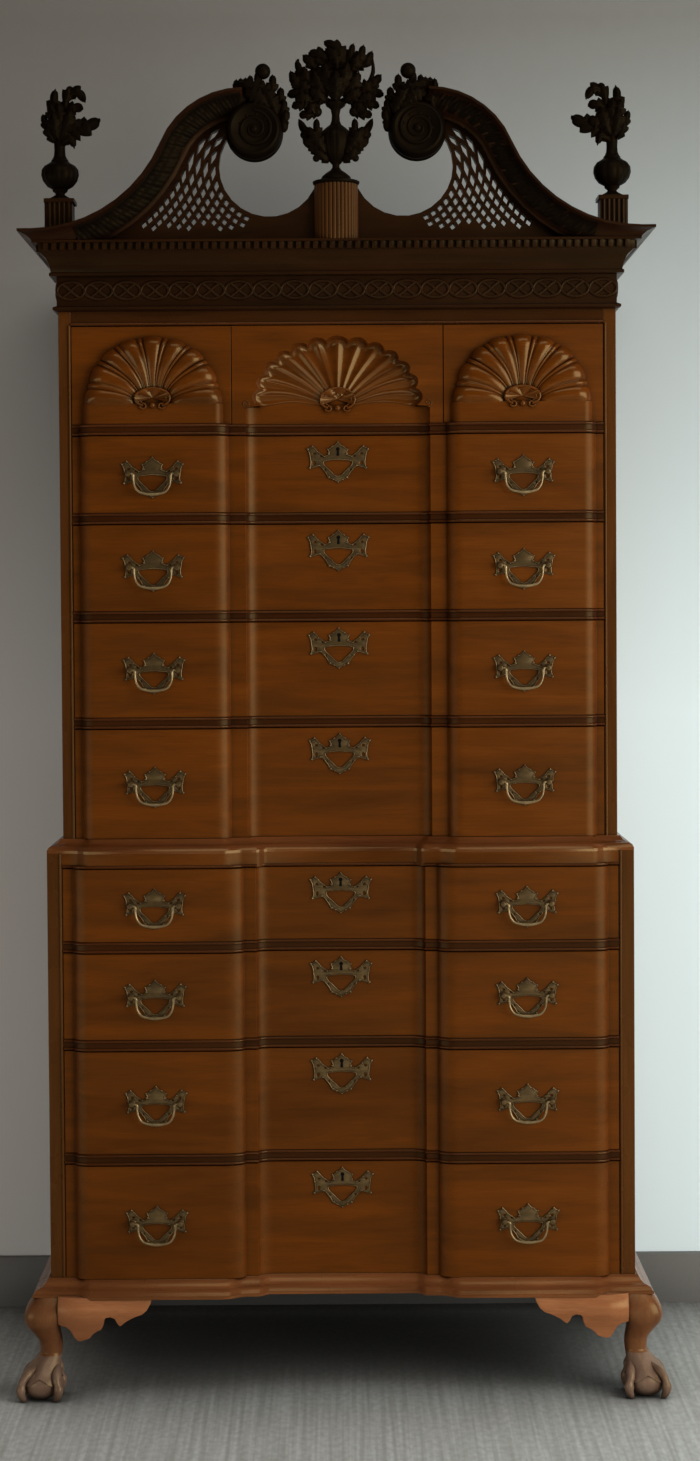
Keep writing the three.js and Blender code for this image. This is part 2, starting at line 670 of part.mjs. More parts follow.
function rosette() {
  const drum = turned(rosetteShares.map(([r, d]) => [r * rosetteRadius, d * rosetteDepth]), rosetteSegments)
    .rotateX(Math.PI).translate(rosetteX, upperFrontY, rosetteZ);
  const leaves = sawn(
    crestShares.map(([x, z]) => [Math.min(rosetteX + x * crestSpan, crestEdgeX), rosetteZ + z * crestSpan]),
    upperFrontY - rosetteDepth / 2 - crestDepth, upperFrontY - rosetteDepth / 2,
  );
  const ballY = upperFrontY - rosetteDepth / 2 - crestDepth / 2;
  const ball = new THREE.SphereGeometry(ballRadius, ballSegments, ballRings).translate(ballX, ballY, ballZ);
  const stem = board(ballX - ballStemHalf, ballX + ballStemHalf, ballY - ballStemHalf, ballY + ballStemHalf,
    ballZ - 2 * ballRadius, ballZ);
  return joined([drum, leaves, ball, stem]);
}
const rightRosette = rosette();
addPart('rosette_right', geometryOf(rightRosette), darkMahogany, polished);
addPart('rosette_left', geometryOf(mirroredX(rightRosette)), darkMahogany, polished);

// Centre plinth: a bowed, fluted block with a thin cap that also covers the board behind
const bowDepth = 24;
const bowRadius = (centrePlinthHalf ** 2 + bowDepth ** 2) / (2 * bowDepth);
const bowAngle = Math.asin(centrePlinthHalf / bowRadius);
const fluteCount = 10;
const fluteDepth = 2.5;
const fluteShares = [[0, 0], [0.2, 0], [0.38, 1], [0.62, 1], [0.8, 0]];
const centreCapHeight = 7;
const centreCapOut = 3;
function bowPoints(radius, count, shares, depth) {
  const points = [];
  for (let i = 0; i < count; i++) {
    for (const [along, sink] of shares) {
      const angle = bowAngle * (2 * ((i + along) / count) - 1);
      const r = radius - sink * depth;
      points.push([r * Math.sin(angle), bowRadius - bowDepth - r * Math.cos(angle)]);
    }
  }
  points.push([radius * Math.sin(bowAngle), bowRadius - bowDepth - radius * Math.cos(bowAngle)]);
  return points.map(([x, y]) => [x, upperFrontY + y]);
}
const capSteps = 8;
const plinthPlan = bowPoints(bowRadius, fluteCount, fluteShares, fluteDepth);
const plinthColumn = raised(plinthPlan, corniceTopZ, tongueZ);
const capFront = bowPoints(bowRadius + centreCapOut, capSteps, [[0, 0]], 0);
const capPlan = [...capFront, [centrePlinthHalf + centreCapOut, upperFrontY + boardThickness],
  [-centrePlinthHalf - centreCapOut, upperFrontY + boardThickness]];
const centreCap = raised(capPlan, tongueZ, tongueZ + centreCapHeight);
addPart('centre_plinth', geometryOf(joined([plinthColumn, centreCap])), mahogany, polished);

// Cartouche: a turned vase between scrolled, leafy handles, all sawn and carved from one piece.
// The leaf outline and its openings are shares of half the width and of the height.
const cartoucheZ = tongueZ + centreCapHeight;
const cartoucheHeight = 252;
const cartoucheHalf = 88;
const cartoucheY = upperFrontY - 2;
const cartoucheThickness = 18;
const vaseSegments = 10;
const vaseShares = [
  [0, 0], [0.31, 0], [0.3, 0.02], [0.09, 0.08], [0.2, 0.13], [0.29, 0.18], [0.32, 0.28], [0.27, 0.36],
  [0.13, 0.41], [0.11, 0.5], [0.2, 0.55], [0.34, 0.68], [0.3, 0.78], [0, 0.85],
];
const leafShares = [
  [-0.2, 0.16], [-0.36, 0.13], [-0.4, 0.18], [-0.46, 0.14], [-0.42, 0.2], [-0.64, 0.29],
  [-0.55, 0.32], [-0.76, 0.43], [-0.68, 0.45], [-0.56, 0.44], [-0.58, 0.48], [-0.72, 0.49],
  [-0.8, 0.53], [-0.96, 0.6], [-0.92, 0.64], [-0.76, 0.65], [-0.92, 0.77], [-0.8, 0.78], [-0.8, 0.85],
  [-0.68, 0.83], [-0.52, 0.73], [-0.52, 0.81], [-0.65, 0.9], [-0.45, 0.89], [-0.3, 0.95], [-0.22, 1],
  [0, 0.97], [0.12, 0.91], [0.12, 0.83], [0.22, 0.92], [0.34, 0.96], [0.42, 0.89], [0.55, 0.96],
  [0.64, 0.87], [0.72, 0.88], [0.74, 0.78], [0.7, 0.71], [0.9, 0.7], [0.84, 0.64], [0.97, 0.6],
  [0.84, 0.58], [0.94, 0.5], [0.74, 0.5], [0.62, 0.43], [0.55, 0.42], [0.6, 0.35], [0.74, 0.38],
  [0.58, 0.27], [0.66, 0.23], [0.42, 0.15], [0.44, 0.1], [0.32, 0.12], [0.2, 0.16],
];
const leafOpeningShares = [
  [[-0.48, 0.51], [-0.46, 0.57], [-0.34, 0.6], [-0.18, 0.57], [-0.36, 0.55], [-0.37, 0.5]],
  [[-0.27, 0.49], [-0.16, 0.49], [-0.12, 0.41], [-0.28, 0.35], [-0.36, 0.37], [-0.34, 0.41], [-0.28, 0.43]],
  [[0.48, 0.51], [0.5, 0.57], [0.36, 0.6], [0.18, 0.56], [0.36, 0.55], [0.42, 0.5]],
  [[0.12, 0.45], [0.2, 0.48], [0.3, 0.45], [0.4, 0.42], [0.42, 0.34], [0.32, 0.35], [0.14, 0.41]],
  [[0.5, 0.75], [0.56, 0.82], [0.62, 0.79], [0.56, 0.71]],
  [[0.4, 0.65], [0.6, 0.7], [0.55, 0.66]],
  [[-0.62, 0.68], [-0.5, 0.7], [-0.42, 0.66], [-0.55, 0.66]],
];
function atShares(shares, half, height, baseZ) {
  return shares.map(([x, z]) => [x * half, baseZ + z * height]);
}
const leafPlate = sawn(
  atShares(leafShares, cartoucheHalf, cartoucheHeight, cartoucheZ),
  cartoucheY - cartoucheThickness / 2, cartoucheY + cartoucheThickness / 2,
  leafOpeningShares.map((hole) => atShares(hole, cartoucheHalf, cartoucheHeight, cartoucheZ)),
);
const vaseProfile = vaseShares.map(([r, z]) => [r * cartoucheHalf, z * cartoucheHeight]);
const vase = turnedUpright(vaseProfile, vaseSegments)
  .translate(0, cartoucheY, cartoucheZ);
addPart('cartouche', geometryOf(joined([leafPlate, vase])), darkMahogany, polished);

// Finials: a small turned urn with a spray of leaves that leans towards the middle
const finialZ = plinthTopZ + plinthCapHeight;
const finialUrnHeight = 84;
const finialUrnRadius = 34;
const finialSegments = 12;
const finialUrnShares = [
  [0, 0], [0.62, 0], [0.54, 0.05], [0.2, 0.13], [0.2, 0.17], [0.4, 0.24], [0.34, 0.29], [0.75, 0.42],
  [1, 0.6], [0.93, 0.74], [0.45, 0.92], [0.26, 1], [0, 1.01],
];
const sprayHeight = 128;
const sprayThickness = 16;
const sprayShares = [
  [-0.09, -0.04], [-0.12, 0.3], [-0.26, 0.42], [-0.27, 0.55], [-0.18, 0.58], [-0.2, 0.8],
  [-0.08, 0.98], [0, 0.76], [0.1, 0.74], [0.12, 0.93], [0.3, 0.98], [0.44, 0.84], [0.24, 0.82],
  [0.38, 0.72], [0.3, 0.58], [0.52, 0.54], [0.66, 0.56], [0.56, 0.44], [0.4, 0.36], [0.16, 0.38],
  [0.24, 0.28], [0.24, 0.16], [0.08, 0.16], [0.09, -0.04],
];
const finialProfile = finialUrnShares.map(([r, z]) => [r * finialUrnRadius, z * finialUrnHeight]);
const finialUrn = turnedUpright(finialProfile, finialSegments)
  .translate(plinthMiddleX, plinthMiddleY, finialZ);
const sprayOutline = atShares(sprayShares, -sprayHeight, sprayHeight, finialZ + finialUrnHeight);
const spray = sawn(sprayOutline, plinthMiddleY - sprayThickness / 2, plinthMiddleY + sprayThickness / 2)
  .translate(plinthMiddleX, 0, 0);
const rightFinial = joined([finialUrn, spray]);
addPart('finial_right', geometryOf(rightFinial), darkMahogany, polished);
addPart('finial_left', geometryOf(mirroredX(rightFinial)), darkMahogany, polished);

// Legs: a short cabriole leg on a claw-and-ball foot, with shaped brackets beside the knee.
// Modelled at the right front corner; the other three are mirror images. A leg is as deep as
// it is wide, so one distance across serves both directions.
const legToDepth = lowerHalfWidth + lowerFrontY;
const legInset = 26;
const legWidth = 70.5;
const legInnerX = lowerHalfWidth - legInset;
// Each row: height, outer face and inner face
const legShares = [
  [1, 0.766, 0], [0.935, 0.922, 0], [0.842, 1, 0.028], [0.766, 0.95, 0.085], [0.685, 0.837, 0.113],
  [0.609, 0.723, 0.085], [0.522, 0.652, 0.057], [0.424, 0.709, 0.085], [0.293, 0.851, 0.298],
];
const legCornerShare = 0.32;
const footOut = 16.5;
const footX = lowerHalfWidth + footOut;
const footRadius = 37;
const footFlatten = 0.85;
const footZ = 27;
const footSegments = 12;
const footRings = 8;
const talonHeight = 92;
const talonReach = 47.5;
const talonHalfThickness = 9;
// Each row: height, reach and half thickness
const talonShares = [
  [1, 0.358, 0.667], [0.783, 0.674, 0.889], [0.565, 0.905, 1], [0.283, 1, 1], [0, 0.695, 0.556],
];
const ankleInset = 1;
const ankleX = lowerHalfWidth - ankleInset;
function legSection([heightShare, outerShare, innerShare]) {
  const z = heightShare * baseBottomZ;
  const out = legInnerX + outerShare * legWidth;
  const inside = legInnerX + innerShare * legWidth;
  const cut = (out - inside) * legCornerShare;
  const corners = [
    [out, inside + cut], [out, out - cut], [out - cut, out], [inside + cut, out],
    [inside, out - cut], [inside, inside + cut], [inside + cut, inside], [out - cut, inside],
  ];
  return corners.map(([x, y]) => new THREE.Vector3(x, legToDepth - y, z));
}
function talon(turn) {
  const rings = talonShares.map(([heightShare, reachShare, thickShare], i) => {
    const out = reachShare * talonReach;
    const thick = thickShare * talonHalfThickness;
    const share = i / (talonShares.length - 1);
    const middle = ankleX + (footX - ankleX) * Math.min(1, 2 * share);
    const across = new THREE.Vector2(Math.cos(turn), Math.sin(turn));
    const side = new THREE.Vector2(-across.y, across.x);
    const ring = [[-1, 0], [0, -1], [1, 0], [0, 1]];
    return ring.map(([a, b]) => new THREE.Vector3(
      middle + across.x * (out + a * thick) + side.x * b * thick,
      legToDepth - middle + across.y * (out + a * thick) + side.y * b * thick,
      heightShare * talonHeight,
    ));
  });
  return loft(rings, rings[0].map((point) => new THREE.Vector2(point.x, point.y)));
}

// The bracket's lower edge, as shares of its length and height: an arch, a pointed drop,
// a second arch, a smaller drop, and a long rise to the tip
const bracketRootInset = 21;
const bracketRootX = lowerHalfWidth - bracketRootInset;
const bracketLength = 164;
const bracketHeight = 78;
const bracketShares = [
  [0, 0.62], [0.05, 0.6], [0.12, 0.76], [0.18, 1], [0.22, 0.99], [0.32, 0.9], [0.43, 0.72],
  [0.48, 0.54], [0.5, 0.42], [0.56, 0.39], [0.61, 0.46], [0.65, 0.61], [0.72, 0.52], [0.83, 0.36],
  [0.93, 0.22], [1, 0.02],
];
const bracketThickness = 22;
const bracketSetback = 3;
function bracketOutline() {
  const edge = bracketShares.map(([along, down]) => [
    bracketRootX - along * bracketLength, baseBottomZ - down * bracketHeight,
  ]);
  return [[bracketRootX, baseBottomZ], [bracketRootX - bracketLength, baseBottomZ], ...edge.reverse()];
}
function frontBracket() {
  const faceY = lowerFrontY - baseProjection + bracketSetback;
  const reach = [bracketRootX - bracketLength - overrun, bracketRootX + overrun];
  const inner = lowerLine.filter(([x]) => x > reach[0] && x < reach[1]);
  const plan = [[reach[0], faceY - blockRise], ...inner.map(([x, y]) => [x, faceY + y]), [reach[1], faceY],
    [reach[1], faceY + bracketThickness], [reach[0], faceY + bracketThickness]];
  const blank = solidOf(raised(plan, baseBottomZ - bracketHeight - overrun, baseBottomZ + overrun));
  const outline = sawn(bracketOutline(), faceY - blockRise - overrun, faceY + bracketThickness + overrun);
  return blank.intersect(solidOf(outline));
}
function sideBracket() {
  const faceX = lowerHalfWidth + baseProjection - bracketSetback;
  const plate = sawn(bracketOutline(), -faceX, bracketThickness - faceX);
  plate.applyMatrix4(new THREE.Matrix4().makeBasis(
    new THREE.Vector3(0, -1, 0), new THREE.Vector3(-1, 0, 0), new THREE.Vector3(0, 0, 1),
  ));
  return solidOf(facingOut(mergeVertices(plate))).translate([0, legToDepth, 0]);
}
function leg(withFrontBracket) {
  const rings = legShares.map(legSection);
  const column = loft(rings, rings[0].map((point) => new THREE.Vector2(point.x, point.y)));
  const ball = new THREE.SphereGeometry(footRadius, footSegments, footRings);
  ball.rotateX(Math.PI / 2).scale(1, 1, footFlatten).translate(footX, legToDepth - footX, footZ);
  const talons = [1, 3, 5, 7].map((eighth) => talon((eighth * Math.PI) / 4));
  let solid = joined([column, ball, ...talons]).add(sideBracket());
  if (withFrontBracket) {
    solid = solid.add(frontBracket());
  }
  const ground = solidOf(board(0, 2 * lowerHalfWidth, -lowerHalfWidth, 0, -footRadius, 0));
  return solid.subtract(ground);
}
const frontLeg = leg(true);
const rearLeg = leg(false).mirror([0, 1, 0]);
addPart('leg_front_right', geometryOf(frontLeg), mahogany, polished);
addPart('leg_front_left', geometryOf(mirroredX(frontLeg)), mahogany, polished);
addPart('leg_rear_right', geometryOf(rearLeg), mahogany, polished);
addPart('leg_rear_left', geometryOf(mirroredX(rearLeg)), mahogany, polished);

// Drawers. Each is modelled from the lower middle of its own opening and then set in place.
// The box behind the front: two sides, a back and a bottom let in above the lower edges
function drawerBox(x0, x1, height, rearY) {
  const floorZ = workingGap;
  const topZ = height - drawerTopGap - boxTopDrop;
  const rimY = rearY - boxBackThickness;
  const innerX = [x0 + boxSideThickness, x1 - boxSideThickness];
  const outer = solidOf(board(x0, x1, frontBackDepth - overrun / 2, rearY, floorZ, topZ));
  const well = solidOf(board(...innerX, 0, rimY, boxBottomLift + boxBottomThickness, height));
  const below = solidOf(board(...innerX, 0, rearY + overrun, -overrun, boxBottomLift));
  return cutAll(outer, [well, below]);
}

// Hardware: the plate's outline about the middle of its two posts, as shares of half its
// width and of its rise above them
const plateThickness = 2;
const plateSeat = 0.5;
const plateHalfWidth = 55;
const plateRise = 30;
const plateShares = [
  [0, 1], [0.33, 0.57], [0.27, 0.2], [0.5, 0.15], [0.84, 0.77], [1, 0.6], [0.91, -0.57], [0.49, -0.6],
  [0.31, -1.13], [0, -1.4],
];
const plateOpeningShares = [[0.4, -0.1], [0.26, -0.8]];
function bothSides(shares) {
  const right = shares.map(([x, z]) => [x * plateHalfWidth, z * plateRise]);
  const left = right.filter(([x]) => x > 0).map(([x, z]) => [-x, z]).reverse();
  return [...right, ...left];
}
function plate(x, faceY, z) {
  const openings = [bothSides(plateOpeningShares)];
  const geometry = sawn(bothSides(plateShares), faceY - plateThickness, faceY + plateSeat, openings);
  return geometry.translate(x, 0, z);
}

// Posts with round heads; each head is bored on its inner side for the bail
const postHalfSpan = 43;
const postReach = 12;
const postRadius = 3.6;
const headRadius = 6.4;
const headHalf = 6;
const boreRadius = 3.2;
const boreDepth = 7.4;
const postSides = 6;
function post(sign) {
  const profile = [
    [0, -plateSeat],
    [postRadius, -plateSeat],
    [postRadius, postReach - headHalf],
    [headRadius, postReach - headHalf / 2],
    [headRadius, postReach + headHalf / 2],
    [0, postReach + headHalf],
  ];
  const stem = solidOf(turned(profile, postSides).rotateX(Math.PI).translate(sign * postHalfSpan, 0, 0));
  const bore = turned([[0, 0], [boreRadius, 0], [boreRadius, boreDepth], [0, boreDepth]], postSides)
    .rotateZ(-Math.PI / 2).translate(postHalfSpan - headRadius - workingGap, -postReach, 0);
  const cutter = solidOf(bore);
  return stem.subtract(sign > 0 ? cutter : mirroredX(cutter));
}

// Bail: a round bar from one post to the other, hanging in a flattened U
const bailRadius = 2.4;
const bailSides = 5;
const bailSteps = 6;
const bailDrop = 37;
const pinEndX = postHalfSpan - workingGap;
const bailShares = [[0.79, 0], [0.76, -0.1], [0.79, -0.35], [0.7, -0.7], [0.45, -0.93]];
function bail() {
  const half = [[1, 0], ...bailShares].map(([x, z]) => new THREE.Vector3(x * pinEndX, 0, z * bailDrop));
  const middle = new THREE.Vector3(0, 0, -bailDrop);
  const rest = half.map((point) => new THREE.Vector3(-point.x, 0, point.z)).reverse();
  const path = new THREE.CatmullRomCurve3([...half, middle, ...rest], false, 'centripetal');
  const round = arcPoints({ x: 0, z: 0 }, bailRadius, 0, 2 * Math.PI * (1 - 1 / bailSides), bailSides - 1);
  return new THREE.ExtrudeGeometry(shapeOf(round), { steps: bailSteps * 2, extrudePath: path });
}

const escutcheonDrop = 41;
const lowerPullX = 0.666 * lowerInnerX;
const upperPullX = 0.6946 * upperInnerX;
// A long drawer with its plates fixed to the front, and its two bails hung on the posts
function longDrawer(name, place, level) {
  const height = level.z1 - level.z0;
  const half = place.innerX - drawerSideGap;
  const plan = blockedPlan(place.line, 0, frontBackDepth, half);
  const front = solidOf(raised(plan, workingGap, height - drawerTopGap));
  const box = drawerBox(-half, half, height, place.boxRearY);
  const pullZ = height / 2;
  let solid = front.add(box).add(solidOf(plate(0, middleSink, height - escutcheonDrop)));
  for (const sign of [-1, 1]) {
    const x = sign * place.pullX;
    const faceY = -blockRise;
    solid = solid.add(solidOf(plate(x, faceY, pullZ)));
    for (const end of [-1, 1]) {
      solid = solid.add(post(end).translate([x, faceY - plateThickness, pullZ]));
    }
  }
  const drawer = addPart(name, geometryOf(solid), mahogany, polished);
  drawer.position.set(0, place.frontY, level.z0);
  for (const [side, sign] of [['left', -1], ['right', 1]]) {
    const handle = addPart(`${name}_bail_${side}`, bail(), brass, metalFinish, drawer);
    handle.position.set(sign * place.pullX, -blockRise - plateThickness - postReach, pullZ);
  }
}
const lowerPlace = {
  line: lowerLine, frontY: lowerFrontY, innerX: lowerInnerX, pullX: lowerPullX,
  boxRearY: caseInnerBackY - boxBackClearance - lowerFrontY,
};
const upperPlace = {
  line: upperLine, frontY: upperFrontY, innerX: upperInnerX, pullX: upperPullX,
  boxRearY: caseInnerBackY - boxBackClearance - upperFrontY,
};
lowerLevels.forEach((level, i) => longDrawer(`lower_drawer_${i + 1}`, lowerPlace, level));
upperLevels.forEach((level, i) => longDrawer(`upper_drawer_${i + 1}`, upperPlace, level));

// Shell drawers: the outer pair carry raised shells on raised blocks, the middle one a sunk
// shell over a sunk panel. A shell is swept fanwise from one side to the other.
const shellLobes = 11;
const lobeSteps = 3;
const shellHollowShare = 0.22;
const shellRadialShares = [[0.22, 0.62], [0.5, 0.8], [0.8, 1], [0.93, 0.8], [1, 0]];
const lobeDepth = 4;
const lobeEdgeShare = 0.05;
const shellBaseZ = 27;
const raisedShell = { halfWidth: 126, height: 134, relief: blockRise + 3, sign: -1 };
const sunkShell = { halfWidth: 154, height: 132, relief: middleSink, sign: 1 };
function shell({ halfWidth, height, relief, sign }) {
  const backing = -sign * overrun;
  const rings = [];
  const count = shellLobes * lobeSteps;
  for (let i = 0; i <= count; i++) {
    const angle = (Math.PI * i) / count;
    const wave = Math.abs(Math.sin((Math.PI * shellLobes * i) / count));
    const at = (share, y) => {
      const reach = share * (1 - lobeEdgeShare * (1 - wave) * share);
      return new THREE.Vector3(halfWidth * reach * Math.cos(angle), y, height * reach * Math.sin(angle));
    };
    const face = shellRadialShares.map(([share, lift]) => at(share,
      sign * (lift * relief - (lift > 0 ? lobeDepth * share * (1 - wave) * lift : 0))));
    rings.push([at(1, backing), at(shellHollowShare, backing), ...face]);
  }
  const outline = [[1, -1], [shellHollowShare, -1], ...shellRadialShares];
  return solidOf(loft(rings, outline.map(([a, b]) => new THREE.Vector2(a, b))));
}
const bossSegments = 12;
const bossLift = 14;
const bossHeightShare = 0.62;
const hollowShares = [[0, -0.4], [1, -0.4], [1, 0.5], [0.5, 0.7], [0, 0.75]];
const bossShares = [[0, -0.4], [1, -0.4], [1.05, 0.75], [0.86, 0.95], [0.7, 0.7], [0, 0.5]];
function shellBoss({ halfWidth, relief }, profileShares) {
  const radius = halfWidth * (shellHollowShare + lobeEdgeShare / 2);
  const disc = turned(profileShares.map(([r, d]) => [r * radius, d * relief]), bossSegments);
  return solidOf(disc.scale(1, 1, bossHeightShare).translate(0, 0, shellBaseZ + bossLift));
}
function shellDrawer(name, x0, x1, boxX0, boxX1, shellX, form) {
  const top = shellOpeningHeight - drawerTopGap;
  let front = solidOf(board(x0, x1, 0, frontBackDepth, workingGap, top));
  const fan = shell(form).translate([shellX, 0, shellBaseZ]);
  if (form.sign < 0) {
    const beside = upperLine.filter(([x]) => x * shellX > 0);
    const strip = beside.filter(([x]) => Math.abs(x) > upperPlanX.inner && Math.abs(x) < upperPlanX.edge);
    const blockPlan = [...strip, [strip.at(-1)[0], overrun], [strip[0][0], overrun]];
    const block = solidOf(raised(blockPlan, workingGap, shellBaseZ + overrun));
    const bossZ = shellBaseZ + bossLift;
    const boss = shellBoss(form, bossShares).rotate([180, 0, 0]).translate([shellX, 0, 2 * bossZ]);
    front = front.add(block).add(fan).add(boss);
  } else {
    const strip = upperLine.filter(([x]) => Math.abs(x) <= upperPlanX.inner);
    const sinkPlan = [...strip, [strip.at(-1)[0], -overrun], [strip[0][0], -overrun]];
    const sink = solidOf(raised(sinkPlan, -overrun, shellBaseZ + workingGap));
    const hollow = shellBoss(form, hollowShares).translate([shellX, 0, 0]);
    front = front.subtract(sink).subtract(fan).subtract(hollow);
  }
  const box = drawerBox(boxX0, boxX1, shellOpeningHeight, upperPlace.boxRearY);
  const drawer = addPart(name, geometryOf(front.add(box)), mahogany, polished);
  drawer.position.set(0, upperFrontY, shellZ0);
}
const outerX = upperInnerX - drawerSideGap;
const jointX = partitionHalfX + drawerSideGap / 2;
const outerBoxX = partitionHalfX + partitionThickness / 2 + drawerSideGap;
const middleBoxX = partitionHalfX - partitionThickness / 2 - drawerSideGap;
const shellMiddleX = 0.6925 * upperInnerX;
shellDrawer('shell_drawer_left', -outerX, -jointX, -outerX, -outerBoxX, -shellMiddleX, raisedShell);
const middleX = jointX - drawerSideGap;
shellDrawer('shell_drawer_middle', -middleX, middleX, -middleBoxX, middleBoxX, 0, sunkShell);
shellDrawer('shell_drawer_right', jointX, outerX, outerBoxX, outerX, shellMiddleX, raisedShell);

export default chest;
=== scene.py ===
# %% [markdown]
# # A block front chest
#
# The real piece is a tall mahogany chest on chest. Its front is "blocked": two raised panels
# and a sunk middle run from the base up through every drawer, and end in carved shells. The
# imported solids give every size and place, so this lesson only dresses them: it gives each
# piece softer edges, finer carving and a finish that looks like old polished wood or brass.

# %% Load the frame
import json
import math

import bmesh
import bpy
from mathutils import Matrix, Vector, noise

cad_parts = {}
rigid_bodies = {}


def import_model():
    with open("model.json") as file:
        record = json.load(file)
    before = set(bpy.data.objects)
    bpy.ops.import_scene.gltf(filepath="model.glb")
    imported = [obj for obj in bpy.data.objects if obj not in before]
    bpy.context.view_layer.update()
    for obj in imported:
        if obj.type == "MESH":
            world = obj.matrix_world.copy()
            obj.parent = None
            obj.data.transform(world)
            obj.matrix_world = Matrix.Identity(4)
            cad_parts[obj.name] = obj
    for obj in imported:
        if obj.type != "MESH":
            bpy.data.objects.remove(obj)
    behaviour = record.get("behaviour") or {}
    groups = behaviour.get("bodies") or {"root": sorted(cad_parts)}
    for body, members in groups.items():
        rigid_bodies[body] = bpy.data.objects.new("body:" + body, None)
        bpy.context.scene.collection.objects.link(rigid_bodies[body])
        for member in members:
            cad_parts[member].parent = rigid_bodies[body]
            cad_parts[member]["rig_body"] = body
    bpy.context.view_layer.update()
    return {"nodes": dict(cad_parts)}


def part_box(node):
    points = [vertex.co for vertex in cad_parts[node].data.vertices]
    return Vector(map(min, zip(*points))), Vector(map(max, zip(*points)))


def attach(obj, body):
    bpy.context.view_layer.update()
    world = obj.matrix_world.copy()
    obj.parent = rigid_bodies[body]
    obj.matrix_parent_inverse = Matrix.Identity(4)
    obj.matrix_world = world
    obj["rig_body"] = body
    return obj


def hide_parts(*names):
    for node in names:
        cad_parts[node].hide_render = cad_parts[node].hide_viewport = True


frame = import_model()
scene = bpy.context.scene
MM = 0.001

# %% [markdown]
# ## The camera
#
# The photograph was taken from about 4.6 m in front of the drawers, at a height of 1.42 m,
# with the camera tipped down a little. A long lens keeps the uprights nearly parallel. The
# picture is taller than it is wide, so the lens is set on the height.

# %% Place the camera
PICTURE_HEIGHT = 1461
FOCAL_PIXELS = 2570
MIDDLE_OFFSET = (10.7, -44.7)
camera_data = bpy.data.cameras.new("photo_camera")
camera_data.sensor_fit = "VERTICAL"
camera_data.sensor_height = 36
camera_data.lens = 36 * FOCAL_PIXELS / PICTURE_HEIGHT
camera_data.shift_x = MIDDLE_OFFSET[0] / PICTURE_HEIGHT
camera_data.shift_y = MIDDLE_OFFSET[1] / PICTURE_HEIGHT
camera = bpy.data.objects.new("photo_camera", camera_data)
scene.collection.objects.link(camera)
TILT_DOWN = math.radians(1.8)
ROLL = math.radians(-0.37)
camera.location = (0, -4.835, 1.422)
facing = Matrix.Rotation(math.pi / 2 - TILT_DOWN, 4, "X") @ Matrix.Rotation(ROLL, 4, "Z")
camera.rotation_euler = facing.to_euler()
scene.camera = camera
print("lens", round(camera_data.lens, 1), "mm")

# %% [markdown]
# ## Node helpers
#
# Every finish below is a small node tree. Adding and joining nodes takes many lines, so two
# helpers keep the recipes short enough to read.

# %% Helpers for node trees
class Finish:
    """A material whose nodes are added by name, with sockets joined as they are made."""

    def __init__(self, name):
        self.material = bpy.data.materials.new(name)
        self.material.use_nodes = True
        self.tree = self.material.node_tree
        self.tree.nodes.clear()
        self.surface = self.add("ShaderNodeBsdfPrincipled")
        output = self.add("ShaderNodeOutputMaterial")
        self.tree.links.new(self.surface.outputs[0], output.inputs["Surface"])
        self.place = self.add("ShaderNodeTexCoord").outputs["Object"]

    def add(self, kind, inputs=None, **settings):
        node = self.tree.nodes.new(kind)
        for key, value in settings.items():
            setattr(node, key, value)
        for key, value in (inputs or {}).items():
            if isinstance(value, bpy.types.NodeSocket):
                self.tree.links.new(value, node.inputs[key])
            else:
                node.inputs[key].default_value = value
        return node

    def noise(self, scale, stretch=(1, 1, 1), detail=4, rough=0.55, distort=0.0):
        spread = self.add("ShaderNodeMapping", {"Vector": self.place, "Scale": stretch})
        return self.add("ShaderNodeTexNoise", {
            "Vector": spread.outputs[0], "Scale": scale, "Detail": detail,
            "Roughness": rough, "Distortion": distort,
        }).outputs["Fac"]

    def ramp(self, value, low, high, to_low=0.0, to_high=1.0):
        return self.add("ShaderNodeMapRange", {
            "Value": value, "From Min": low, "From Max": high, "To Min": to_low, "To Max": to_high,
        }).outputs[0]

    def math(self, operation, first, second):
        return self.add("ShaderNodeMath", {0: first, 1: second}, operation=operation).outputs[0]

    def mix(self, share, first, second, blend="MIX"):
        node = self.add("ShaderNodeMix", data_type="RGBA", blend_type=blend)
        for slot, value in (("Factor_Float", share), ("A_Color", first), ("B_Color", second)):
            socket = next(s for s in node.inputs if s.identifier == slot)
            if isinstance(value, bpy.types.NodeSocket):
                self.tree.links.new(value, socket)
            else:
                socket.default_value = value
        return next(s for s in node.outputs if s.identifier == "Result_Color")

    def bump(self, height, distance, strength=1.0):
        node = self.add("ShaderNodeBump", {"Height": height, "Distance": distance, "Strength": strength})
        self.tree.links.new(node.outputs[0], self.surface.inputs["Normal"])

    def set(self, **sockets):
        for key, value in sockets.items():
            socket = self.surface.inputs[key.replace("_", " ")]
            if isinstance(value, bpy.types.NodeSocket):
                self.tree.links.new(value, socket)
            else:
                socket.default_value = value


def tint(red, green, blue):
    """A colour as read from a picture, turned into the linear values that a shader wants."""
    def linear(value):
        value /= 255
        return value / 12.92 if value <= 0.04045 else ((value + 0.055) / 1.055) ** 2.4
    return (linear(red), linear(green), linear(blue), 1.0)


# %% [markdown]
# ## Old polished mahogany
#
# Mahogany shows three things at different sizes: wide soft bands of light and dark along the
# board, fine dark pores drawn out along the grain, and a slow change of tone from board to
# board. Each is one noise, stretched along the grain. An ambient occlusion node darkens the
# corners and hollows: painted shade, together with the old dirt and polish that gather there.
# The shine stays low and warm, because a strong white one would lie over the brown like haze.

# %% The mahogany recipe
POLISH_TINT = (1.0, 0.76, 0.34, 1.0)
ALONG = {"x": (0, 1, 1), "y": (1, 0, 1), "z": (1, 1, 0)}


def grained(grain, squeeze):
    """A stretch for noise: plain along the grain, squeezed across it."""
    return tuple(squeeze if across else 1 for across in ALONG[grain])


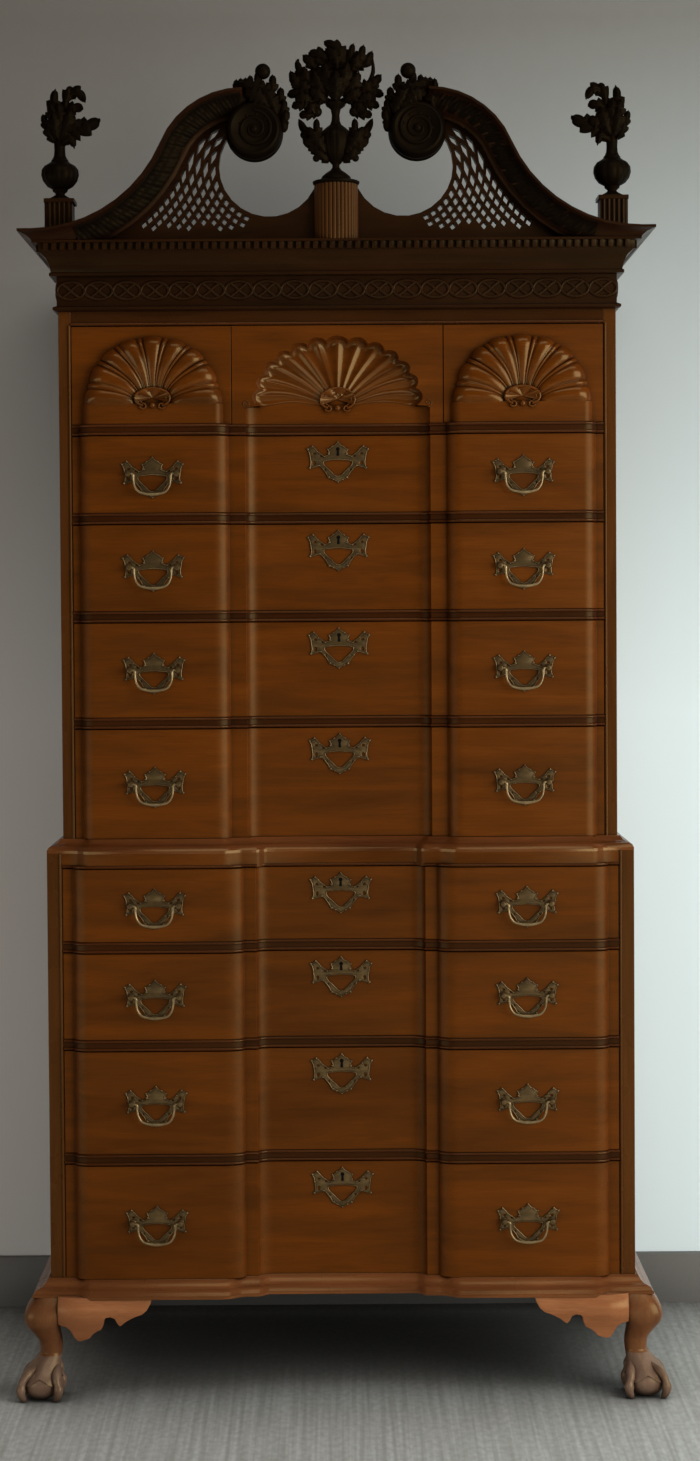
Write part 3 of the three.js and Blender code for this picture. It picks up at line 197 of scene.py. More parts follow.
def mahogany(name, grain, dark, light, gloss=0.27, polish=0.26, corner_shade_and_dirt=0.5, reach=0.012):
    """Dark and light are read from the picture. The corner darkening is painted shade with some old dirt, and
    one argument sets its share.
    """
    finish = Finish(f"mahogany_{name}")
    figure = finish.noise(3.2, grained(grain, 9), detail=5, rough=0.6, distort=0.5)
    pores = finish.noise(16, grained(grain, 40), detail=3, rough=0.6)
    tone = finish.noise(1.7, (1, 1, 1), detail=2)
    colour = finish.mix(finish.ramp(figure, 0.15, 0.85), tint(*dark), tint(*light))
    slow = finish.ramp(tone, 0.3, 0.7, 0.86, 1.12)
    streak = finish.ramp(pores, 0.34, 0.56, 0.84, 1.03)
    level = finish.math("MULTIPLY", slow, streak)
    shade = finish.add("ShaderNodeCombineColor", {0: level, 1: level, 2: level}).outputs[0]
    colour = finish.mix(1.0, colour, shade, "MULTIPLY")
    # Painted shade: ambient occlusion darkens corners and hollows toward dark brown, with some old dirt.
    corner = finish.add("ShaderNodeAmbientOcclusion", {"Distance": reach}, samples=6).outputs["AO"]
    colour = finish.mix(finish.ramp(corner, 0.35, 0.95, corner_shade_and_dirt, 0.0), colour, tint(20, 9, 4))
    rubbed = finish.noise(9, (1, 1, 1), detail=3)
    rough = finish.ramp(rubbed, 0.3, 0.7, gloss - 0.04, gloss + 0.06)
    finish.set(Base_Color=colour, Roughness=rough, Specular_IOR_Level=polish, Specular_Tint=POLISH_TINT)
    finish.bump(pores, 0.0001, 0.35)
    return finish.material


# %% [markdown]
# ## One recipe, many boards
#
# Every part of the chest has its own tone. The drawer fronts are golden brown. The base
# moulding, brackets, legs and feet are lighter, partly their own tone and partly painted
# light, as if lit from low in front. The cornice and carving high up are nearly black. One
# recipe with other colours, gloss and painted corner shade and dirt makes them all, which keeps
# them one family of wood. The colours were read from the photograph.

# %% Mahogany finishes
FRONT = ((60, 26, 3), (110, 54, 7))
wood_x = mahogany("lengthwise", "x", *FRONT, gloss=0.4, polish=0.22)
wood_rail = mahogany("rail", "x", (38, 15, 4), (68, 31, 8), gloss=0.34, polish=0.16, corner_shade_and_dirt=0.8)
wood_z = mahogany("upright", "z", (56, 28, 7), (92, 50, 16))
wood_top = mahogany("top_rail", "x", (36, 16, 4), (64, 32, 9))
# The base moulding is painted lighter, partly as light falling on it from low in front.
wood_moulding = mahogany("moulding", "x", (76, 38, 16), (132, 78, 42),
                         gloss=0.25, polish=0.4, corner_shade_and_dirt=0.85, reach=0.007)
wood_cornice = mahogany("cornice", "x", (20, 9, 3), (46, 22, 8), gloss=0.34, polish=0.16)
wood_carved = mahogany("carved", "z", (6, 4, 2), (21, 13, 7),
                       gloss=0.46, polish=0.04, corner_shade_and_dirt=0.85, reach=0.018)
wood_shell = mahogany("shell", "x", *FRONT,
                      gloss=0.22, polish=0.4, corner_shade_and_dirt=0.85, reach=0.016)
# Legs, brackets and feet are painted lighter, partly as light falling on them from low in front.
wood_leg = mahogany("leg", "z", (74, 39, 20), (132, 84, 52),
                    gloss=0.3, polish=0.4, corner_shade_and_dirt=0.6, reach=0.02)
wood_bracket = mahogany("bracket", "x", (116, 66, 38), (182, 118, 76),
                        gloss=0.3, polish=0.4, corner_shade_and_dirt=0.7, reach=0.02)
wood_foot = mahogany("foot", "z", (82, 56, 42), (138, 112, 94),
                     gloss=0.34, polish=0.4, corner_shade_and_dirt=0.6, reach=0.02)
wood_plinth = mahogany("plinth", "z", (44, 22, 8), (84, 50, 22), gloss=0.36, polish=0.16)
wood_waist = mahogany("waist", "x", (66, 31, 12), (122, 68, 32),
                      gloss=0.2, polish=0.5, corner_shade_and_dirt=0.85, reach=0.007)
wood_bead = mahogany("bead", "x", (48, 20, 6), (82, 38, 13), gloss=0.2, polish=0.36)
wood_neck = mahogany("gooseneck", "x", (17, 9, 5), (46, 23, 11), gloss=0.4, polish=0.08)
print("mahogany finishes", 15)

# %% [markdown]
# ## Plain wood and brass
#
# Drawer boxes and backs were made of cheaper pale wood and never polished: broad growth
# lines, a dry surface and some dust. The brass is cast, gilded long ago and now mostly
# brown, with bright metal left only where hands rub it.

# %% Plain wood and brass
def plain_wood(name, grain):
    finish = Finish(name)
    rings = finish.noise(2.4, grained(grain, 12), detail=6, rough=0.65, distort=0.8)
    fibres = finish.noise(30, tuple(3 * size for size in grained(grain, 12)), detail=2)
    colour = finish.mix(finish.ramp(rings, 0.3, 0.7), tint(128, 92, 54), tint(178, 140, 92))
    stain = finish.ramp(finish.noise(2.3, detail=4), 0.42, 0.68, 0.0, 0.4)
    colour = finish.mix(stain, colour, tint(92, 64, 38))
    finish.set(Base_Color=colour, Roughness=finish.ramp(fibres, 0.3, 0.7, 0.62, 0.82))
    finish.bump(fibres, 0.0002, 0.5)
    return finish.material


def old_brass(name, brown, bright):
    """Brown in the corners and bright where it stands out and is rubbed."""
    finish = Finish(name)
    patches = finish.noise(60, detail=4, rough=0.6)
    corner = finish.add("ShaderNodeAmbientOcclusion", {"Distance": 0.004}, samples=6).outputs["AO"]
    worn = finish.math("MULTIPLY", finish.ramp(patches, 0.25, 0.75, 0.35, 1.0), finish.ramp(corner, 0.6, 1.0))
    colour = finish.mix(worn, brown, bright)
    finish.set(Base_Color=colour, Metallic=0.7, Roughness=finish.ramp(patches, 0.3, 0.7, 0.4, 0.28))
    finish.bump(finish.noise(420, detail=2), 0.00012, 0.6)
    return finish.material


def keyhole_shade(name):
    """A dark sheet with a faint mottle, painted as the shade inside a keyhole."""
    finish = Finish(name)
    dust = finish.noise(90, detail=3)
    colour = finish.mix(dust, tint(5, 3, 2), tint(14, 9, 5))
    finish.set(Base_Color=colour, Roughness=0.9, Specular_IOR_Level=0.1)
    return finish.material


pale_y = plain_wood("pale_wood_deep", "y")
pale_z = plain_wood("pale_wood_upright", "z")
brass = old_brass("aged_brass", tint(40, 28, 13), tint(116, 92, 54))
rubbed_brass = old_brass("rubbed_brass", tint(64, 50, 28), tint(168, 142, 98))
# The keyhole finish is painted shade, made as a thin dark sheet.
keyhole_shade_sheet = keyhole_shade("keyhole_painted_shade")
print("plain finishes", 2, "brass", brass.name)

# %% [markdown]
# ## Making a piece
#
# All new pieces go through one function: the edit mesh is cleaned, its faces are turned
# outwards and it gets its finish. Edges sharper than the limit stay crisp and the rest are
# shaded smooth. A small bevel catches the light along each arris, as a rubbed edge does.

# %% From an edit mesh to a piece
SAME_SPOT = 0.01 * MM
ARRIS = 0.5 * MM


def mesh_of(bm, name="part"):
    """The mesh of an edit mesh, which is freed."""
    mesh = bpy.data.meshes.new(name)
    bm.to_mesh(mesh)
    bm.free()
    return mesh


def make_piece(name, bm, finish, body="case", sharp=38, bevel=0.0, stands_for=()):
    """A finished piece that rides on a body and stands for some of the solids."""
    bmesh.ops.remove_doubles(bm, verts=bm.verts, dist=SAME_SPOT)
    bmesh.ops.recalc_face_normals(bm, faces=bm.faces)
    mesh = mesh_of(bm, name)
    mesh.shade_smooth()
    mesh.set_sharp_from_angle(angle=math.radians(sharp))
    mesh.materials.append(finish)
    piece = bpy.data.objects.new(name, mesh)
    scene.collection.objects.link(piece)
    if bevel:
        soft = piece.modifiers.new("rubbed_edge", "BEVEL")
        soft.width = bevel
        soft.segments = 2
        soft.limit_method = "ANGLE"
        soft.angle_limit = math.radians(sharp)
        soft.harden_normals = True
    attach(piece, body)
    if stands_for:
        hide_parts(*stands_for)
    return piece


def dress(node, finish, sharp=34, bevel=ARRIS):
    """A merged copy of a CAD node, shaded smooth and with rubbed edges."""
    bm = bmesh.new()
    bm.from_mesh(frame["nodes"][node].data)
    bmesh.ops.remove_doubles(bm, verts=bm.verts, dist=0.02 * MM)
    bmesh.ops.dissolve_limit(bm, angle_limit=math.radians(0.8), verts=bm.verts, edges=bm.edges)
    body = frame["nodes"][node]["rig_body"]
    return make_piece(f"{node}_dressed", bm, finish, body, sharp, bevel, (node,))


print("arris on most pieces", ARRIS, "m wide")

# %% [markdown]
# ## Building blocks
#
# Most parts of the chest come from a few tools of the workshop: boards, balls and turnings
# from the lathe, bent bars, and shapes sawn out of a flat board. Each has a helper that adds
# it to an edit mesh. Bars and sawn boards start as curves, because a curve can be given a
# round section or a filled face with holes, and are made a mesh before they are placed.

# %% Boards, balls and turnings
def add_board(bm, low, high):
    """A plain board between two corners."""
    low, high = Vector(low), Vector(high)
    made = bmesh.ops.create_cube(bm, size=1.0)["verts"]
    bmesh.ops.scale(bm, vec=high - low, verts=made)
    bmesh.ops.translate(bm, vec=(low + high) / 2, verts=made)


def add_ball(bm, middle, half, around=18, rows=12):
    """A ball or an egg shape with the given half sizes."""
    made = bmesh.ops.create_uvsphere(bm, u_segments=around, v_segments=rows, radius=1.0)["verts"]
    bmesh.ops.scale(bm, vec=half, verts=made)
    bmesh.ops.translate(bm, vec=middle, verts=made)


def add_mesh(bm, mesh):
    """Add a mesh that was made apart, and delete it."""
    bm.from_mesh(mesh)
    bpy.data.meshes.remove(mesh)


def in_mm(points):
    """Points measured in millimetres, turned into metres."""
    return [tuple(value * MM for value in point) for point in points]


def add_turned(bm, profile, middle, steps=32, axis="Z"):
    """A turned shape: (radius, height) pairs spun about an upright or a front-to-back axis."""
    turned = bmesh.new()
    corners = [turned.verts.new((radius, 0, height)) for radius, height in profile]
    for first, second in zip(corners, corners[1:]):
        turned.edges.new((first, second))
    bmesh.ops.spin(turned, geom=turned.verts[:] + turned.edges[:], cent=(0, 0, 0), axis=(0, 0, 1),
                   angle=2 * math.pi, steps=steps, use_merge=True)
    bmesh.ops.remove_doubles(turned, verts=turned.verts, dist=SAME_SPOT)
    if axis == "Y":
        forward = Matrix.Rotation(math.pi / 2, 3, "X")
        bmesh.ops.rotate(turned, cent=(0, 0, 0), matrix=forward, verts=turned.verts)
    bmesh.ops.translate(turned, vec=middle, verts=turned.verts)
    bmesh.ops.recalc_face_normals(turned, faces=turned.faces)
    add_mesh(bm, mesh_of(turned))


# %% Bars and sawn boards
def curve_mesh(splines, closed, **settings):
    """A mesh from a curve that is given a round section or a filled face."""
    curve = bpy.data.curves.new("path", "CURVE")
    for key, value in settings.items():
        setattr(curve, key, value)
    for points in splines:
        spline = curve.splines.new("POLY")
        spline.points.add(len(points) - 1)
        for point, place in zip(spline.points, points):
            place = tuple(place)
            point.co = (*place[:3], 1.0) if len(place) > 2 else (*place, 0.0, 1.0)
            point.radius = place[3] if len(place) > 3 else 1.0
        spline.use_cyclic_u = closed
    holder = bpy.data.objects.new("path", curve)
    mesh = bpy.data.meshes.new_from_object(holder)
    bpy.data.objects.remove(holder)
    bpy.data.curves.remove(curve)
    return mesh


def tube(points, radius, closed=False, sides=3):
    """A round bar along points; a fourth number on a point swells or thins the bar there."""
    return curve_mesh([points], closed, dimensions="3D", bevel_depth=radius, bevel_resolution=sides,
                      use_fill_caps=True)


def sawn(outline, holes, front, back, edge=0.0):
    """A flat shape seen from the front, as (x, z) points, with its thickness front to back."""
    mesh = curve_mesh([outline, *holes], True, dimensions="2D", fill_mode="BOTH",
                      extrude=(back - front) / 2 - edge, bevel_depth=edge, bevel_resolution=1)
    mesh.transform(Matrix.Translation((0, (front + back) / 2, 0)) @ Matrix.Rotation(math.pi / 2, 4, "X"))
    return mesh


def smooth_line(points, steps=4, closed=True):
    """A soft curve through points, so that a few measured points give a fair outline."""
    count = len(points)
    result = []
    spans = count if closed else count - 1
    for i in range(spans):
        around = [Vector(points[(i + k) % count] if closed else points[min(max(i + k, 0), count - 1)])
                  for k in (-1, 0, 1, 2)]
        for step in range(steps):
            t = step / steps
            a, b, c, d = around
            result.append(tuple(0.5 * (2 * b + (c - a) * t + (2 * a - 5 * b + 4 * c - d) * t * t
                                       + (3 * b - a - 3 * c + d) * t * t * t)))
    if not closed:
        result.append(tuple(points[-1]))
    return result


# %% [markdown]
# ## Dressing the cases
#
# The sides, backs, mouldings and the scroll board are right as they are. They could be drawn
# again, but a merged copy of the solid can't drift from it. Each gets welded corners, so
# that curved mouldings shade smoothly, and most get a slightly soft arris. Uprights take
# upright grain and the mouldings take grain along their length.

# %% Dress the two cases
for side in ("left", "right"):
    dress(f"lower_side_{side}", wood_z, bevel=0.8 * MM)
    dress(f"upper_side_{side}", wood_z, bevel=0.8 * MM)
for node in ("lower_back", "upper_back"):
    dress(node, pale_z)
for node in ("lower_top", "upper_floor"):
    dress(node, wood_x, bevel=0.4 * MM)
dress("top_frame_with_partitions", wood_top, bevel=0.4 * MM)
dress("waist_moulding", wood_waist, bevel=0)
dress("base_frame", wood_moulding, bevel=0)
for node in ("frieze", "cornice"):
    dress(node, wood_cornice)
dress("scroll_board", wood_cornice, bevel=0)
for node in ("gooseneck_left", "gooseneck_right"):
    dress(node, wood_neck, bevel=0)

# %% [markdown]
# ## The blocked line
#
# One wavy line in plan governs the whole front. Flat edges step out to the raised blocks,
# back to a narrow flat, and then in to the sunk middle. The shoulders of a block are quarter
# rounds that end in a sharp corner at the flat. The sunk middle starts with a sharp arris
# and falls away in a cove. Both are quarter ellipses, so one helper draws them.

# %% The blocked line
BLOCK_RISE = 18 * MM
MIDDLE_SINK = 16 * MM
LOWER_PLAN = {"edge": 0.500, "flat": 0.480, "block_out": 0.451, "block_in": 0.211,
              "step": 0.174, "inner": 0.152, "middle": 0.124}
UPPER_PLAN = {"edge": 0.478, "flat": 0.463, "block_out": 0.440, "block_in": 0.225,
              "step": 0.196, "inner": 0.166, "middle": 0.140}
LOWER_HALF = LOWER_PLAN["edge"]
UPPER_HALF = UPPER_PLAN["edge"]
LOWER_FRONT = -0.235
UPPER_FRONT = -0.208


def quarter(steep, gentle, steps=10):
    """A quarter ellipse that starts square to the front and ends flush with a flat face."""
    angles = [math.pi / 2 * i / steps for i in range(steps + 1)]
    return [(steep[0] + (gentle[0] - steep[0]) * (1 - math.cos(angle)),
             steep[1] + (gentle[1] - steep[1]) * math.sin(angle)) for angle in angles]


def mirrored(half_line):
    """The left half of a line, followed by its mirror image."""
    return half_line + [(-x, y) for x, y in reversed(half_line)]


def blocked_line(plan):
    """The whole wavy line, as (x, y) points, with the flat at y = 0."""
    left = quarter((-plan["flat"], 0.0), (-plan["block_out"], -BLOCK_RISE))
    left += quarter((-plan["step"], 0.0), (-plan["block_in"], -BLOCK_RISE))[::-1]
    left += quarter((-plan["inner"], 0.0), (-plan["middle"], MIDDLE_SINK))
    return mirrored([(-plan["edge"], 0.0), *left])


def add_slab(bm, plan, low, high):
    """A board with its outline given in plan, as (x, y) points."""
    bottom = bm.faces.new([bm.verts.new((x, y, low)) for x, y in plan])
    grown = bmesh.ops.extrude_face_region(bm, geom=[bottom])["geom"]
    top = [v for v in grown if isinstance(v, bmesh.types.BMVert)]
    bmesh.ops.translate(bm, vec=(0, 0, high - low), verts=top)


def trimmed(line, half):
    """The part of a line between two ends, with a point on the flat at each end."""
    return [(-half, 0.0), *((x, y) for x, y in line if abs(x) < half), (half, 0.0)]


def add_blocked_slab(bm, line, front, rear, half, low, high):
    """A board whose front face follows the blocked line."""
    plan = [(x, front + y) for x, y in trimmed(line, half)]
    add_slab(bm, [*plan, (half, rear), (-half, rear)], low, high)


lower_line = blocked_line(LOWER_PLAN)
upper_line = blocked_line(UPPER_PLAN)
print("points along the blocked line", len(lower_line))

# %% [markdown]
# ## Drawer dividers
#
# Between two drawers lies a rail with the same blocked front, and a thinner dust board
# behind it that keeps dirt from falling into the drawer below. The rails could be copies of
# the solids, but those have a plain step where the wood has a quarter round, so they are
# drawn again on the finer line.

# %% Drawer dividers
RAIL_DEPTH = 75 * MM
DUST_BOARD = 11 * MM


def divider(name, line, front, half):
    low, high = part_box(name)
    bm = bmesh.new()
    add_blocked_slab(bm, line, front, front + RAIL_DEPTH, half, low.z, high.z)
    add_board(bm, (-half, front + RAIL_DEPTH, high.z - DUST_BOARD), (half, high.y, high.z))
    make_piece(f"{name}_rail", bm, wood_rail, sharp=30, bevel=0.4 * MM, stands_for=(name,))
    return name


lower_dividers = [divider(f"lower_divider_{i}", lower_line, LOWER_FRONT, LOWER_HALF) for i in (1, 2, 3)]
upper_dividers = [divider(f"upper_divider_{i}", upper_line, UPPER_FRONT, UPPER_HALF) for i in (1, 2, 3, 4)]
print("dividers", len(lower_dividers + upper_dividers))

# %% [markdown]
# ## Beads round the drawers
#
# Each drawer opening is edged with a thin half-round bead. It protects the drawer's edge
# and draws a fine double line of light along every divider. It could be a profile swept
# along the edge, but only the half that stands out is ever seen. So a thin round bar is let
# half way into the edge of the divider, and follows the blocked line.

# %% Beads along the dividers
BEAD_RADIUS = 2.5 * MM
BEAD_INSET = 2.9 * MM
BEAD_PROUD = 0.7 * MM
BEAD_CLEAR = 0.5 * MM
LOWER_OPENING = (0.213, 0.979)
UPPER_OPENING = (1.004, 1.925)


def bead_rails(name, line, front, half, levels):
    """One bar along the blocked line at each of the given heights."""
    bm = bmesh.new()
    for z in levels:
        add_mesh(bm, tube([(x, front + y - BEAD_PROUD, z) for x, y in trimmed(line, half)], BEAD_RADIUS))
    make_piece(name, bm, wood_bead, sharp=60)


def edges_of(node):
    """The heights of the beads along the foot and the top of a node."""
    low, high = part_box(node)
    return [low.z + BEAD_INSET, high.z - BEAD_INSET]


lower_levels = [z for node in lower_dividers for z in edges_of(node)] + [edges_of("lower_top")[0]]
upper_levels = [z for node in upper_dividers for z in edges_of(node)]
bead_rails("lower_rail_beads", lower_line, LOWER_FRONT, LOWER_HALF - BEAD_CLEAR, lower_levels)
bead_rails("upper_rail_beads", upper_line, UPPER_FRONT, UPPER_HALF - BEAD_CLEAR, upper_levels)
bead_rails("top_rail_bead", [], UPPER_FRONT, UPPER_HALF - BEAD_CLEAR, [UPPER_OPENING[1] + BEAD_INSET])
print("beads along the dividers", len(lower_levels + upper_levels) + 1)

# %% Beads along the uprights
bm = bmesh.new()
for half, front, opening in ((LOWER_HALF, LOWER_FRONT, LOWER_OPENING),
                             (UPPER_HALF, UPPER_FRONT, UPPER_OPENING)):
    for x in (half + BEAD_INSET, -half - BEAD_INSET):
        add_mesh(bm, tube([(x, front, z) for z in opening], BEAD_RADIUS))
make_piece("upright_beads", bm, wood_z, sharp=60)
print("beads along the uprights", 4)

# %% [markdown]
# ## Long drawers
#
# A drawer is a thick blocked front with a light box behind it: two sides, a back and a
# bottom, all of pale wood. The front is cut from one thick board, so it is one outline in
# plan, raised to the height of the drawer. It is drawn again here with a finer blocked line,
# because polished curves show every flat. The box is plain boards, which overlap a little.

# %% Long drawers
GAP = 0.3 * MM
FRONT_DEPTH = 38 * MM
SIDE_THICK = 12 * MM
BACK_THICK = 11 * MM
BACK_DROP = 3 * MM
BOTTOM_LIFT = 6 * MM
BOTTOM_THICK = 7 * MM
TONGUE = 3 * MM
RIM_DROP = 9 * MM
DRAWER_CLEAR = 1 * MM


def drawer_box(name, x0, x1, low, high, front, rear):
    """Two sides, a back and a bottom whose edges sit in grooves."""
    bm = bmesh.new()
    top = high - RIM_DROP
    start = front + FRONT_DEPTH - GAP
    for a, b in ((x0, x0 + SIDE_THICK), (x1 - SIDE_THICK, x1)):
        add_board(bm, (a, start, low), (b, rear, top))
    left, right = x0 + SIDE_THICK, x1 - SIDE_THICK
    add_board(bm, (left, rear - BACK_THICK, low), (right, rear, top - BACK_DROP))
    floor_low = low + BOTTOM_LIFT
    add_board(bm, (left - TONGUE, start, floor_low),
              (right + TONGUE, rear - BACK_THICK + TONGUE, floor_low + BOTTOM_THICK))
    make_piece(f"{name}_box", bm, pale_y, name, bevel=0.6 * MM)


def long_drawer(name, line, front, half):
    """A front and a box. What comes back is the depth of the front and its upper edge."""
    low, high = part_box(name)
    bm = bmesh.new()
    add_blocked_slab(bm, line, front, front + FRONT_DEPTH, half, low.z, high.z)
    make_piece(f"{name}_front", bm, wood_x, name, sharp=30, bevel=0.7 * MM, stands_for=(name,))
    drawer_box(name, -half, half, low.z, high.z, front, high.y)
    return front, high.z


LONG_DRAWERS = {}
for i in (1, 2, 3, 4):
    for case, line, front, half in (("lower", lower_line, LOWER_FRONT, LOWER_HALF),
                                    ("upper", upper_line, UPPER_FRONT, UPPER_HALF)):
        name = f"{case}_drawer_{i}"
        LONG_DRAWERS[name] = long_drawer(name, line, front, half - DRAWER_CLEAR)
print("long drawers", len(LONG_DRAWERS))

# %% [markdown]
# ## Carved shells
#
# A shell is a fan of lobes that spread from a small rosette at its foot. It could be carved
# by sculpting, but a formula keeps every lobe alike and can be changed later. So it is a grid
# bent into a fan: one direction runs round the fan, the other from the rosette to the rim.
# The lobes are a wave round the fan, and they grow deeper toward the rim. The raised shell
# is domed outwards with round lobes, and the sunk one is a dish with hollow flutes.

# %% Waves round a shell
SCALLOPS = 13
WIDE_LOBES = 9
THIN_SHARE = 0.3
LOBE_TURN = math.pi / (WIDE_LOBES + (WIDE_LOBES - 1) * THIN_SHARE)


def scalloped(turn):
    """A row of equal lobes: 0 in the grooves, 1 on the crests."""
    return abs(math.sin(turn * SCALLOPS))


def ridged(turn):
    """Hollow flutes with a narrow ridge down the middle of each scallop."""
    return 1 - math.sqrt(math.cos(turn * SCALLOPS) ** 2 + 0.01)


def ribbed(turn):
    """Wide round lobes with a thin lower rib between each two."""
    place = (turn / LOBE_TURN) % (1 + THIN_SHARE)
    if place < 1:
        return math.sqrt(max(0.0, 1 - (2 * place - 1) ** 2))
    return 0.72 * math.sqrt(max(0.0, 1 - (2 * (place - 1) / THIN_SHARE - 1) ** 2))


def fan_point(turn, out, form):
    """The place of one point of the fan, to the side and up, seen from the front."""
    reach = 1 - form["scallop"] * (1 - form["wave"](turn) ** 0.7)
    rim_x = -form["half"] * math.copysign(abs(math.cos(turn)) ** 0.94, math.cos(turn)) * reach
    rim_z = form["foot"] + (form["top"] - form["foot"]) * math.sin(turn) ** 0.94 * reach
    heart_x = -form["heart_half"] * math.cos(turn) * 0.9
    heart_z = form["heart_z"] + form["heart_half"] * 0.6 * math.sin(turn)
    bend = form["bend"]
    x = heart_x + (rim_x - heart_x) * out ** (1 + bend)
    z = heart_z + (rim_z - heart_z) * out ** (1 - bend)
    side = abs(math.cos(turn))
    hump = form["hump"] * math.sin(math.pi * out) ** 1.5 * side ** 6
    return x, z + hump - form["drop"] * side ** 8 * out ** 3


# %% The fan
def fan(form, middle_x, foot_z, front, depth_of, rear, rays):
    """A closed solid: the carved fan in front and a plain back inside the drawer front."""
    bm = bmesh.new()
    grid = bmesh.ops.create_grid(bm, x_segments=rays, y_segments=30, size=0.5)["verts"]
    for vert in grid:
        turn = math.pi * min(max(vert.co.x + 0.5, 0.0), 1.0)
        out = min(max(vert.co.y + 0.5, 0.0), 1.0)
        x, z = fan_point(turn, out, form)
        vert.co = (middle_x + x, front + depth_of(turn, out), foot_z + z)
    edges = [e for e in bm.edges if e.is_boundary]
    walls = bmesh.ops.extrude_edge_only(bm, edges=edges)["geom"]
    for vert in (v for v in walls if isinstance(v, bmesh.types.BMVert)):
        vert.co.y = rear
    bmesh.ops.holes_fill(bm, edges=[e for e in bm.edges if e.is_boundary], sides=0)
    return bm


def raised_depth(turn, out):
    """How far the raised shell stands forward: a dome that rolls down to the drawer."""
    roll = math.sqrt(max(0.0, 1 - max(0.0, (out - 0.76) / 0.24) ** 2.2))
    dome = 11 * MM + 14 * MM * math.sin(math.pi / 2 * min(1.0, out / 0.66))
    groove = (2.0 + 6.0 * out) * MM * (1 - ribbed(turn))
    flush = max(0.0, 1 - math.sin(turn) / 0.16) ** 2
    return -((dome - groove) * (1 - flush) + BLOCK_RISE * 0.98 * flush) * roll


def sunk_depth(turn, out):
    """How far the sunk shell lies back: a dish with a cove at its rim."""
    cove = math.sqrt(max(0.0, 1 - max(0.0, (out - 0.82) / 0.18) ** 2.6))
    lobe = (1.5 + 4.5 * out) * MM * ridged(turn)
    deep = 14 * MM + 8 * MM * math.sin(math.pi / 2 * min(1.0, out / 0.8)) * math.sin(turn) ** 0.5
    return 0.6 * MM + (deep - lobe) * cove


RAISED = {"half": 0.1265, "foot": 0.037, "top": 0.158, "scallop": 0.055, "heart_half": 0.030,
          "heart_z": 0.030, "bend": 0.3, "hump": 0.0, "drop": 10 * MM, "wave": ribbed}
SUNK = {"half": 0.154, "foot": 0.032, "top": 0.157, "scallop": 0.07, "heart_half": 0.030,
        "heart_z": 0.033, "bend": 0.08, "hump": 7 * MM, "drop": 0.0, "wave": scalloped}
print("the raised shell is", 2 * RAISED["half"], "m wide, the sunk one", 2 * SUNK["half"], "m")

# %% [markdown]
# ## The carved top drawers
#
# The top row has three short drawers. The outer two end the raised blocks in a shell that
# stands out. The middle one ends the sunk panel in a shell that is hollowed, so its front is
# a board with the outline of the panel and the shell cut out of it, and a second board
# behind that closes the hollow.

# %% Shell drawer fronts
SHELL_X = 0.331
OUTER_SIDES = (0.477, 0.19075)
MIDDLE_HALF = 0.18925
SHELL_BLOCK_HIGH = 0.036
SHELL_BLOCK_FACE = 0.110
PANEL_HIGH = 0.030
PANEL_THICK = 24 * MM
OVERLAP = 0.5 * MM
BOX_INSET = 8 * MM
BOX_RAISE = 0.5 * MM


def outer_shell_front(name, sign):
    """A flat front with a short raised block along its foot."""
    low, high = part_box(name)
    x0, x1 = sorted(sign * side for side in OUTER_SIDES)
    bm = bmesh.new()
    add_board(bm, (x0, UPPER_FRONT, low.z), (x1, UPPER_FRONT + FRONT_DEPTH, high.z))
    half = RAISED["half"]
    rise = mirrored([(-half, 2 * MM), *quarter((-half, 0.0), (-SHELL_BLOCK_FACE, -BLOCK_RISE))])
    block = [(sign * SHELL_X + x, UPPER_FRONT + y) for x, y in rise]
    add_slab(bm, block, low.z, low.z + SHELL_BLOCK_HIGH)
    make_piece(f"{name}_front", bm, wood_x, name, sharp=30, bevel=0.7 * MM, stands_for=(name,))
    left, right = x0 + BOX_INSET * (x0 > 0), x1 - BOX_INSET * (x0 < 0)
    drawer_box(name, left, right, low.z + BOX_RAISE, high.z, UPPER_FRONT, high.y)


def middle_shell_front(name, half):
    """A front with the panel and the shell sawn out, backed by a second board."""
    low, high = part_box(name)
    foot, rear = low.z, UPPER_FRONT + PANEL_THICK
    rim = [fan_point(math.pi * i / 154, 1.0, SUNK) for i in range(155)]
    wall = UPPER_PLAN["inner"]
    notch = [(-wall, foot), (-wall, foot + PANEL_HIGH), *((x, foot + z) for x, z in rim),
             (wall, foot + PANEL_HIGH), (wall, foot)]
    outline = [(-half, foot), *notch, (half, foot), (half, high.z), (-half, high.z)]
    bm = bmesh.new()
    add_mesh(bm, sawn(outline, [], UPPER_FRONT, rear))
    add_board(bm, (-half, rear - OVERLAP, foot), (half, UPPER_FRONT + FRONT_DEPTH, high.z))
    edge = UPPER_PLAN["middle"]
    sunk_line = mirrored(quarter((-wall + SAME_SPOT, 0.0), (-edge, MIDDLE_SINK)))
    add_blocked_slab(bm, sunk_line, UPPER_FRONT, rear, wall, foot, foot + PANEL_HIGH)
    ridge = [fan_point(0.0, 1 - i / 12, SUNK) for i in range(13)]
    ridge += [(-x, z) for x, z in reversed(ridge)]
    upper = [(max(-edge, min(edge, x)), foot + z - GAP) for x, z in ridge]
    panel = [(-edge, foot), *upper, (edge, foot)]
    add_mesh(bm, sawn(panel, [], UPPER_FRONT + MIDDLE_SINK - 0.05 * MM, rear))
    make_piece(f"{name}_front", bm, wood_x, name, sharp=30, bevel=0.4 * MM, stands_for=(name,))
    drawer_box(name, BOX_INSET - half, half - BOX_INSET, foot + BOX_RAISE, high.z, UPPER_FRONT, high.y)
    return foot


outer_shell_front("shell_drawer_left", -1)
outer_shell_front("shell_drawer_right", 1)
SHELL_FOOT = middle_shell_front("shell_drawer_middle", MIDDLE_HALF)
print("shell drawers stand on", round(SHELL_FOOT, 4))

